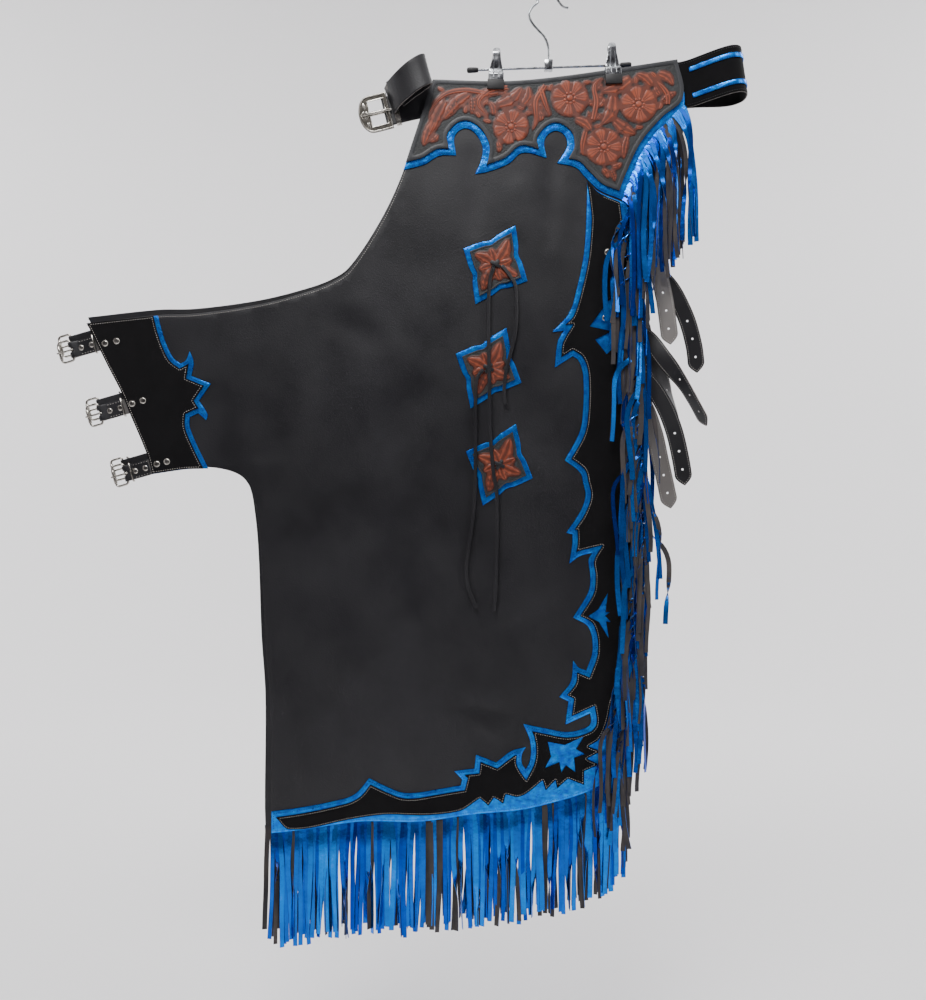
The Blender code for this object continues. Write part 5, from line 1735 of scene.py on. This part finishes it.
def belt_strap(path, at, along, rise):
    """A belt that bends round an axis along its own width, through rows of (along, out, rise)."""
    rows = []
    for i, row in enumerate(path):
        before, after = path[max(i - 1, 0)], path[min(i + 1, len(path) - 1)]
        heading = Vector((after[0] - before[0], after[1] - before[1])).normalized()
        lifted = row[2] if len(row) > 2 else 0.0
        middle = at + along * row[0] + OUTWARD * row[1] + rise * lifted
        rows.append((middle, along * -heading.y + OUTWARD * heading.x))
    return Strap(rows)


OUTWARD = np.array([0.0, -1.0, 0.0])


class CHAPS_OT_belts(bpy.types.Operator):
    """The front belt with its coiled end and buckle, and the folded back belt with its stripes"""

    bl_idname = "chaps.belts"
    bl_label = "Belts"

    def execute(self, context):
        pitch = context.scene.chaps_sizes.stitch_pitch / MM
        along = np.array([-math.cos(FRONT_SLOPE), 0, -math.sin(FRONT_SLOPE)])
        rise = np.array([-math.sin(FRONT_SLOPE), 0, math.cos(FRONT_SLOPE)])
        leather = ["smooth_black_leather", "smooth_black_leather", "cut_edge"]
        for name, path in (("front_belt", FRONT_BELT_PATH), ("front_belt_loop", BELT_LOOP_PATH)):
            strap = belt_strap(path, FRONT_BELT_AT, along, rise)
            outline = strap.ribbon(0, strap.long, BELT_HALF)
            add_strap(name + "_leather", strap, outline, BELT_THICK, leather, [name])
        self.add_buckle(along, rise)
        along = np.array([math.cos(BACK_SLOPE), 0, math.sin(BACK_SLOPE)])
        rise = np.array([-math.sin(BACK_SLOPE), 0, math.cos(BACK_SLOPE)])
        belt = belt_strap(BACK_BELT_PATH, BACK_BELT_AT, along, rise)
        add_strap("back_belt_leather", belt, belt.ribbon(0, belt.long, BACK_BELT_HALF), BACK_BELT_THICK,
                  ["black_suede", "black_suede", "cut_edge"], ["back_belt"])
        start = belt.reach(BACK_BELT_AT + along * 14 + OUTWARD * 4)
        end = belt.reach(BACK_BELT_AT + along * 34 - OUTWARD * 8)
        sewn = []
        for number, middle in enumerate((STRIPE_AT, -STRIPE_AT), 1):
            flat = [(s, v + middle) for s, v in belt.ribbon(start, end, STRIPE_HALF)]
            points, cells = filled(flat, 2.5)
            inner, outer = belt.points(points, 1.1), belt.points(points, 1.9)
            mesh = walled(f"back_belt_stripe_{number}", inner, outer, cells, 0.15)
            shade(mesh)
            add_piece(f"back_belt_stripe_{number}_leather", mesh, ["metallic_blue_leather"],
                      [f"back_belt_stripe_{number}"])
            for edge in (-2.0, 2.0):
                row = [(s, middle + edge) for s in np.arange(start + 1, end - 1, 2.0)]
                sewn.append([tuple(p) for p in belt.points(row, 1.9)])
        stitches("back_belt_stitches", sewn, "blue_thread", pitch)
        edges = [[tuple(p) for p in belt.points([(s, v) for s in np.arange(2, belt.long - 2, 2.0)], 0.85)]
                 for v in (-27.0, 27.0)]
        stitches("back_belt_edge_stitches", edges, "black_thread", pitch)
        return {"FINISHED"}

    def add_buckle(self, along, rise):
        """Engraved plate with two windows, a raised rim, scrolls, a tongue, and the belt's keeper."""
        def place(rows):
            rows = np.array(rows, float)
            return FRONT_BELT_AT + along * rows[:, :1] + rise * rows[:, 1:2] + OUTWARD * rows[:, 2:3]

        near, far, half, end = PLATE_NEAR, PLATE_FAR, PLATE_HALF, PLATE_END
        outline = [(near, -half), (far - end, -half)]
        for step in range(1, 12):
            angle = -math.pi / 2 + math.pi * step / 12
            outline.append((far - end + end * math.cos(angle), half * math.sin(angle)))
        outline += [(far - end, half), (near, half)]
        outline = soft_line(outline, True, 2.5)
        windows = []
        for sign in (-1, 1):
            low, high = sorted((sign * 2.2, sign * 17.0))
            windows.append(soft_line([(near + 5, low), (far - 14, low), (far - 14, high), (near + 5, high)],
                                     True, 3.0))
        flat, cells = filled(outline, 2.5, windows)
        flat = np.array(flat)
        lower, upper = (place(np.column_stack([flat, np.full(len(flat), out)])) for out in (PLATE_BASE, PLATE_TOP))
        plate = walled("plate", lower, upper, cells, 0.4)
        shade(plate)
        ring = [(point, 1.1) for point in place([(*p, PLATE_TOP) for p in inner_loop(outline, 1.3)])]
        rims = [tube("rim", ring, 10, True)]
        for window in windows:
            ring = [(point, 0.7) for point in place([(*p, PLATE_TOP) for p in window])]
            rims.append(tube("window", ring, 8, True))
        relief = Relief()
        ground = Ground(outline, 2.2)
        for window in windows:
            spots = np.argwhere(ground.free) + ground.low
            ground.take(spots[inside(window, spots)])
        draw = random.Random(4)
        relief.flower((far - 8, 0), 6.5, 6, 0.2, 0.8)
        ground.take_disc((far - 8, 0), 6.5)
        fill_with_leaves(ground, relief, [(far - 8, 0)], LEAF_SIZES[3:], draw)
        scrolls = relief.mesh("scrolls", lambda rows: place(rows + np.array([0.0, 0.0, PLATE_TOP])))
        route = place([(near - 2, 0, 5.0), (near + 4, 0, 6.6), (far - 20, 0, 7.4), (far - 6, 0, 6.9),
                       (far - 4, 0, 6.2)])
        tongue = tube("tongue", list(zip(route, (1.6, 1.9, 1.9, 1.7, 0.6))), 12)
        mesh = joined("belt_buckle_metal", [plate, *rims, scrolls, tongue])
        for polygon in mesh.polygons:
            polygon.material_index = 0 if polygon.material_index == 0 else 1
        add_piece("belt_buckle_metal", mesh, ["antique_fill", "nickel_plate"], ["belt_buckle"])
        route = place([(BELT_KEEPER_AT, across, out) for across, out in BELT_KEEPER])
        keeper = Strap(list(zip(route, (-rise, -rise, OUTWARD, OUTWARD, OUTWARD, rise, rise))))
        mesh = keeper.cut("front_belt_keeper", keeper.ribbon(0, keeper.long, 3.4), 0.9, spacing=2.2)
        add_piece("front_belt_keeper", mesh, ["nickel_plate"])


# Belt buckle's plate: where it starts and ends along the belt, half its width, the length of its
# round end, and how far out its back and its face are
PLATE_NEAR = 38.0
PLATE_FAR = 79.0
PLATE_HALF = 24.0
PLATE_END = 16.0
PLATE_BASE = 3.0
PLATE_TOP = 5.2
# Keeper of the front belt: where it is along the belt, and its loop as (across, out)
BELT_KEEPER_AT = 30
BELT_KEEPER = [(-20.6, -0.6), (-20.6, 2.2), (-19, 3.7), (0, 4.2), (19, 3.7), (20.6, 2.2), (20.6, -0.6)]
# Widths and thicknesses of the belts, and the stripes' distance from the back belt's middle
BELT_HALF = 19.0
BELT_THICK = 2.2
BACK_BELT_HALF = 30.0
BACK_BELT_THICK = 1.6
STRIPE_AT = 17.0
STRIPE_HALF = 2.8
# Belts: where the middle leaves the yoke, the slope, and rows of (along, out, rise)
FRONT_BELT_AT = np.array([-166.0, 0.0, -151.0])
FRONT_SLOPE = math.radians(14)
FRONT_BELT_PATH = [(-22, 0, 0), (-4, 0, 0), (12, 1.5, 0), (46, 1.5, 0)]
BELT_LOOP_PATH = [
    (35, 3.6, 12), (28, 14, 15), (15, 24, 19), (0, 30, 24), (-13, 30, 28), (-21, 24, 31),
    (-18, 16, 31), (-6, 11.5, 28), (8, 9.5, 24), (20, 9, 19), (27, 9.2, 16),
]
BACK_BELT_AT = np.array([174.0, 0.0, -127.0])
BACK_SLOPE = math.radians(8)
BACK_BELT_PATH = [
    (-14, 1.05), (3, 1.05), (14, 4), (30, 14), (46, 24), (60, 30), (70, 29), (77, 22), (80, 11),
    (80, -1), (76, -9), (66, -14), (52, -13), (34, -8), (16, -3), (3, -1.05), (-14, -1.05),
]


class CHAPS_OT_hanger(bpy.types.Operator):
    """Wire hook, square collar and bar with soft ends, and the two spring clips with soft jaws"""

    bl_idname = "chaps.hanger"
    bl_label = "Hanger"

    def execute(self, context):
        middle = -(HOOK_RADIUS - WIRE_THICK / 2)
        route = [(x, 0, z) for x, z in reversed(HOOK_TIP)]
        for step in range(9):
            angle = math.pi * step / 8
            route.append((HOOK_RADIUS * math.cos(angle), 0, middle + HOOK_RADIUS * math.sin(angle)))
        route += [(x, 0, z) for x, z in HOOK_TAIL]
        radius = WIRE_THICK / 2
        hook = tube("hook", [(tuple(p), radius) for p in curve_through(route, 1.2)], 14)
        left, right = Vector(BAR_LEFT), Vector(BAR_RIGHT)
        way = (right - left).normalized()
        bar = tube("bar", [(left, radius), (right, radius)], 14)
        collar = self.block("collar", Vector((3, 0, -101)), (11.0, 11.0, 13.0), 1.2)
        tips = []
        for end, sign in ((left, 1), (right, -1)):
            tips.append(tube("tip", [(end + way * sign * along, r) for along, r in TIP_SHAPE], 16))
        mesh = joined("hanger_metal", [hook, bar, collar, *tips])
        for polygon in mesh.polygons:
            polygon.material_index = 1 if polygon.material_index > 2 else 0
        add_piece("hanger_metal", mesh, ["bright_steel", "black_rubber"], ["hanger_frame"])
        for number, (across, up, tilt) in enumerate(CLIPS, 1):
            self.add_clip(number, Matrix.Translation(Vector((across, 0, up)) * MM)
                          @ Matrix.Rotation(-math.radians(tilt), 4, "Y"))
        return {"FINISHED"}

    def block(self, name, middle, size, bevel):
        points = [Vector((x * size[0], y * size[1], z * size[2])) / 2 + middle
                  for x in (-1, 1) for y in (-1, 1) for z in (-1, 1)]
        faces = [[0, 1, 3, 2], [4, 6, 7, 5], [0, 4, 5, 1], [2, 3, 7, 6], [0, 2, 6, 4], [1, 5, 7, 3]]
        mesh = mesh_of(name, points, faces, bevel)
        shade(mesh)
        return mesh

    def add_clip(self, number, place):
        """Two pressed plates that narrow to a rounded tongue, with soft caps on their jaws."""
        outline = soft_line([(-w, v) for v, w in CLIP_HALVES] + [(w, v) for v, w in reversed(CLIP_HALVES)],
                            True, 1.6)
        flat, cells = filled(outline, 1.8)
        flat = np.array(flat)
        rises, gaps = np.array(sorted(CLIP_SHAPE)).T
        gap = np.interp(flat[:, 1], rises, gaps)
        dish = 1.0 - np.clip(np.abs(flat[:, 0]) / 10.0, 0, 1) ** 2
        plates = []
        for side in (-1, 1):
            faces = [np.stack([flat[:, 0], side * (gap + out + 0.5 * dish), flat[:, 1]], axis=1)
                     for out in (0.0, 1.0)]
            plate = walled("plate", *faces, cells, 0.25)
            shade(plate)
            plates.append(plate)
        ribs = []
        for side in (-1, 1):
            for across in (-3.4, 3.4):
                rows = []
                for rise in np.linspace(-13, 21, 12):
                    narrowed = across * (1 - 0.3 * max(rise, 0) / 27)
                    rows.append(((narrowed, side * (np.interp(rise, rises, gaps) + 1.4), rise), 0.9))
                ribs.append(tube("rib", rows, 8))
        jaws = [self.block("jaw", Vector((0, side * 9.0, -21.5)), (21.6, 3.4, 12.5), 0.8) for side in (-1, 1)]
        mesh = joined(f"hanger_clip_{number}_metal", [*plates, *ribs, *jaws])
        count = len(plates) + len(ribs)
        for polygon in mesh.polygons:
            polygon.material_index = 1 if polygon.material_index >= count else 0
        mesh.transform(place)
        add_piece(f"hanger_clip_{number}_metal", mesh, ["bright_steel", "black_rubber"],
                  [f"hanger_clip_{number}"])


WIRE_THICK = 3.2
HOOK_RADIUS = 13.8
HOOK_TAIL = [(-10.4, -18), (-18, -25), (-22, -34), (-19, -44), (-11, -54), (-2, -64), (3, -78), (3, -99)]
HOOK_TIP = [(16, -17), (22, -24), (29, -26)]
BAR_LEFT = (-101, 0, -107)
BAR_RIGHT = (109, 0, -100)
# Soft end of the bar: rows are (inwards from the end, radius)
TIP_SHAPE = [(-2, 1.2), (-1.6, 2.6), (-0.4, 3.4), (2, 3.6), (10, 3.3), (12.6, 2.9), (13, 1.7)]
# Clips: place across, bar's height, tilt; half width of a plate by height; half gap by height
CLIPS = [(-65, -107.5, -2.0), (86, -100.5, 2.0)]
CLIP_HALVES = [(28.4, 1.6), (27.6, 3.6), (25, 4.8), (18, 5.2), (10, 6.4), (2, 8.4), (-6, 9.8), (-14, 10),
               (-26.5, 10)]
CLIP_SHAPE = [(29, 1.8), (27, 2.0), (22, 4.0), (10, 3.6), (2, 1.9), (-2.5, 2.2), (-6, 8.2), (-27, 8.0)]


class CHAPS_OT_fringe(bpy.types.Operator):
    """Thongs that hang from the hem, the outer side and the yoke's slanted end of both legs"""

    bl_idname = "chaps.fringe"
    bl_label = "Fringe"

    def execute(self, context):
        sizes = context.scene.chaps_sizes
        draw = random.Random(5)
        for leg in LEGS:
            side = side_of(leg)
            panel = cut_line(leg + "_leg_panel", side)
            for place, (start, end) in FRINGE_EDGES.items():
                edge = stretch(panel, *on_leg([start, end], leg))
                lines = []
                facings = []
                shares = []
                for number, (root, outward) in enumerate(spread_roots(edge, FRINGE_COUNTS[leg][place])):
                    line, facing = strand_line(root, outward, place, side, sizes.strand_long / MM, draw)
                    lines.append(line)
                    facings += facing
                    shares += [draw.uniform(0.82, 1.12)] * len(line)
                name = f"{leg}_fringe_{place}"
                source = lines_mesh(name, lines)
                source.attributes.new("facing", "FLOAT_VECTOR", "POINT").data.foreach_set(
                    "vector", [value for facing in facings for value in facing])
                source.attributes.new("share", "FLOAT", "POINT").data.foreach_set("value", shares)
                mesh = grown(name, source, strand_tree,
                             {"Width": sizes.strand_wide, "Thickness": STRAND_THICK * MM,
                              "Finish": finish("fringe_leather")})
                shade(mesh, 50)
                piece = add_piece(name + "_thongs", mesh, None, [name])
        return {"FINISHED"}


# Fringe: each edge's start and end on the panel, going anticlockwise, and the strands it has
FRINGE_EDGES = {"hem": (HEM_LEFT, HEM_RIGHT), "side": (HEM_RIGHT, SIDE_TOP), "yoke": (YOKE_CORNER, YOKE_TIP)}
FRINGE_COUNTS = {"front": {"hem": 110, "side": 132, "yoke": 38},
                 "back": {"hem": 100, "side": 112, "yoke": 32}}
STRAND_THICK = 0.9
STRAND_STEP = 7.0
# How each fringe falls: root's distance out, how far out it comes at once and per millimetre,
# the widest random distance more, its lean near the root and the spread of that, the spread of
# its lean further down, sway, and length's share
FALLS = {
    "hem": (3.4, 0.6, 0.012, 3.5, 0.0, 0.04, 0.03, 0.4, 1.0),
    "side": (3.4, 6.5, 0.03, 7.0, -0.38, 0.34, 0.045, 1.3, 1.0),
    "yoke": (4.9, 5.0, 0.05, 8.0, 0.12, 0.16, 0.05, 1.0, 1.22),
}


def spread_roots(edge, count):
    """Places of the strands along an edge, with the direction out of the cloth at each."""
    line = np.array(edge)
    lengths = np.concatenate([[0.0], np.cumsum(np.hypot(*np.diff(line, axis=0).T))])
    along = np.gradient(line, axis=0)
    result = []
    for number in range(count):
        at = lengths[-1] * (number + 0.5) / count
        place = [np.interp(at, lengths, line[:, k]) for k in (0, 1)]
        way = Vector([np.interp(at, lengths, along[:, k]) for k in (0, 1)]).normalized()
        result.append((Vector(place), Vector((way.y, -way.x))))
    return result


def ease(value, start, end):
    """Goes smoothly from 0 to 1 as the value goes from start to end."""
    t = min(max((value - start) / (end - start), 0.0), 1.0)
    return t * t * (3 - 2 * t)


def strand_line(root, outward, place, side, long, draw):
    """One thong: out of the edge, over and down; its points and the way its face looks."""
    root_out, hump, slope, spread, lean, lean_spread, hang_spread, sway, share = FALLS[place]
    heading_out = math.atan2(outward.y, outward.x)
    lean, hang = draw.gauss(lean, lean_spread), draw.gauss(0.0, hang_spread)
    wave, phase = sway * draw.uniform(0.02, 0.09), draw.uniform(0, 6.3)
    lift, bow = draw.uniform(0, spread), draw.uniform(-0.6, 0.6)
    flat = 0.0 if draw.random() < FACE_UP[place] else math.pi
    twist = draw.choice((-1, 1)) * (draw.uniform(1.2, 3.1) if draw.random() < 0.3 else draw.uniform(0, 0.6))
    twist_from = draw.uniform(0.1, 0.6) * long
    long = long * share * draw.uniform(0.94, 1.04)
    root_out -= FLIPPED_BEHIND if flat else 0.0
    steps = max(6, round(long / STRAND_STEP))
    at = root - outward * 0.8
    back = float(depth(root.x, root.y))
    line = []
    facing = []
    for k in range(steps + 1):
        travelled = long * k / steps
        bend = ease(travelled, 1.0, 15.0)
        settled = ease(travelled, 20.0, 75.0)
        down = -math.pi / 2 + lean * (1 - settled) + hang * settled
        heading = (heading_out + (down - heading_out) * bend
                   + wave * bend * math.sin(phase + travelled / 24.0))
        way = Vector((math.cos(heading), math.sin(heading)))
        if k:
            at = at + way * (long / steps)
        out = (root_out + (hump + lift) * ease(travelled, 0.0, 26.0) + slope * travelled
               + bow * math.sin(travelled / 30.0) * bend)
        line.append((at.x, back + side * out, at.y))
        angle = flat * ease(travelled, *FLIPS[place]) + twist * ease(travelled, twist_from, twist_from + 50.0)
        across = Vector((way.y, 0, -way.x))
        facing.append(tuple(Vector((0, side, 0)) * math.cos(angle) + across * math.sin(angle)))
    return line, facing


# Share of the strands that keep their blue face outwards; the others start a little behind
FACE_UP = {"hem": 0.86, "side": 0.45, "yoke": 0.85}
FLIPPED_BEHIND = 0.9
# From where to where along a strand it turns over; before its root means that it starts turned
FLIPS = {"hem": (-1.0, 0.0), "side": (3.0, 42.0), "yoke": (-1.0, 0.0)}


OPERATORS = (CHAPS_OT_stage, CHAPS_OT_laces, CHAPS_OT_legs, CHAPS_OT_tooling, CHAPS_OT_sewing,
             CHAPS_OT_tab_straps, CHAPS_OT_billets, CHAPS_OT_belts, CHAPS_OT_hanger,
             CHAPS_OT_fringe)


class CHAPS_PT_panel(bpy.types.Panel):
    """Lists the chaps' pieces"""

    bl_idname = "CHAPS_PT_panel"
    bl_label = "Leather chaps"
    bl_space_type = "VIEW_3D"
    bl_region_type = "UI"
    bl_category = "Chaps"

    def draw(self, context):
        for operator in OPERATORS:
            self.layout.operator(operator.bl_idname)
        for name in ChapsSizes.__annotations__:
            self.layout.prop(context.scene.chaps_sizes, name)


CLASSES = (ChapsSizes, *OPERATORS, CHAPS_PT_panel)


def register():
    for item in CLASSES:
        bpy.utils.register_class(item)
    bpy.types.Scene.chaps_sizes = PointerProperty(type=ChapsSizes)


def unregister():
    del bpy.types.Scene.chaps_sizes
    for item in reversed(CLASSES):
        bpy.utils.unregister_class(item)


def main():
    register()
    for operator in OPERATORS:
        group, name = operator.bl_idname.split(".")
        getattr(getattr(bpy.ops, group), name)()


if __name__ == "__main__":
    main()
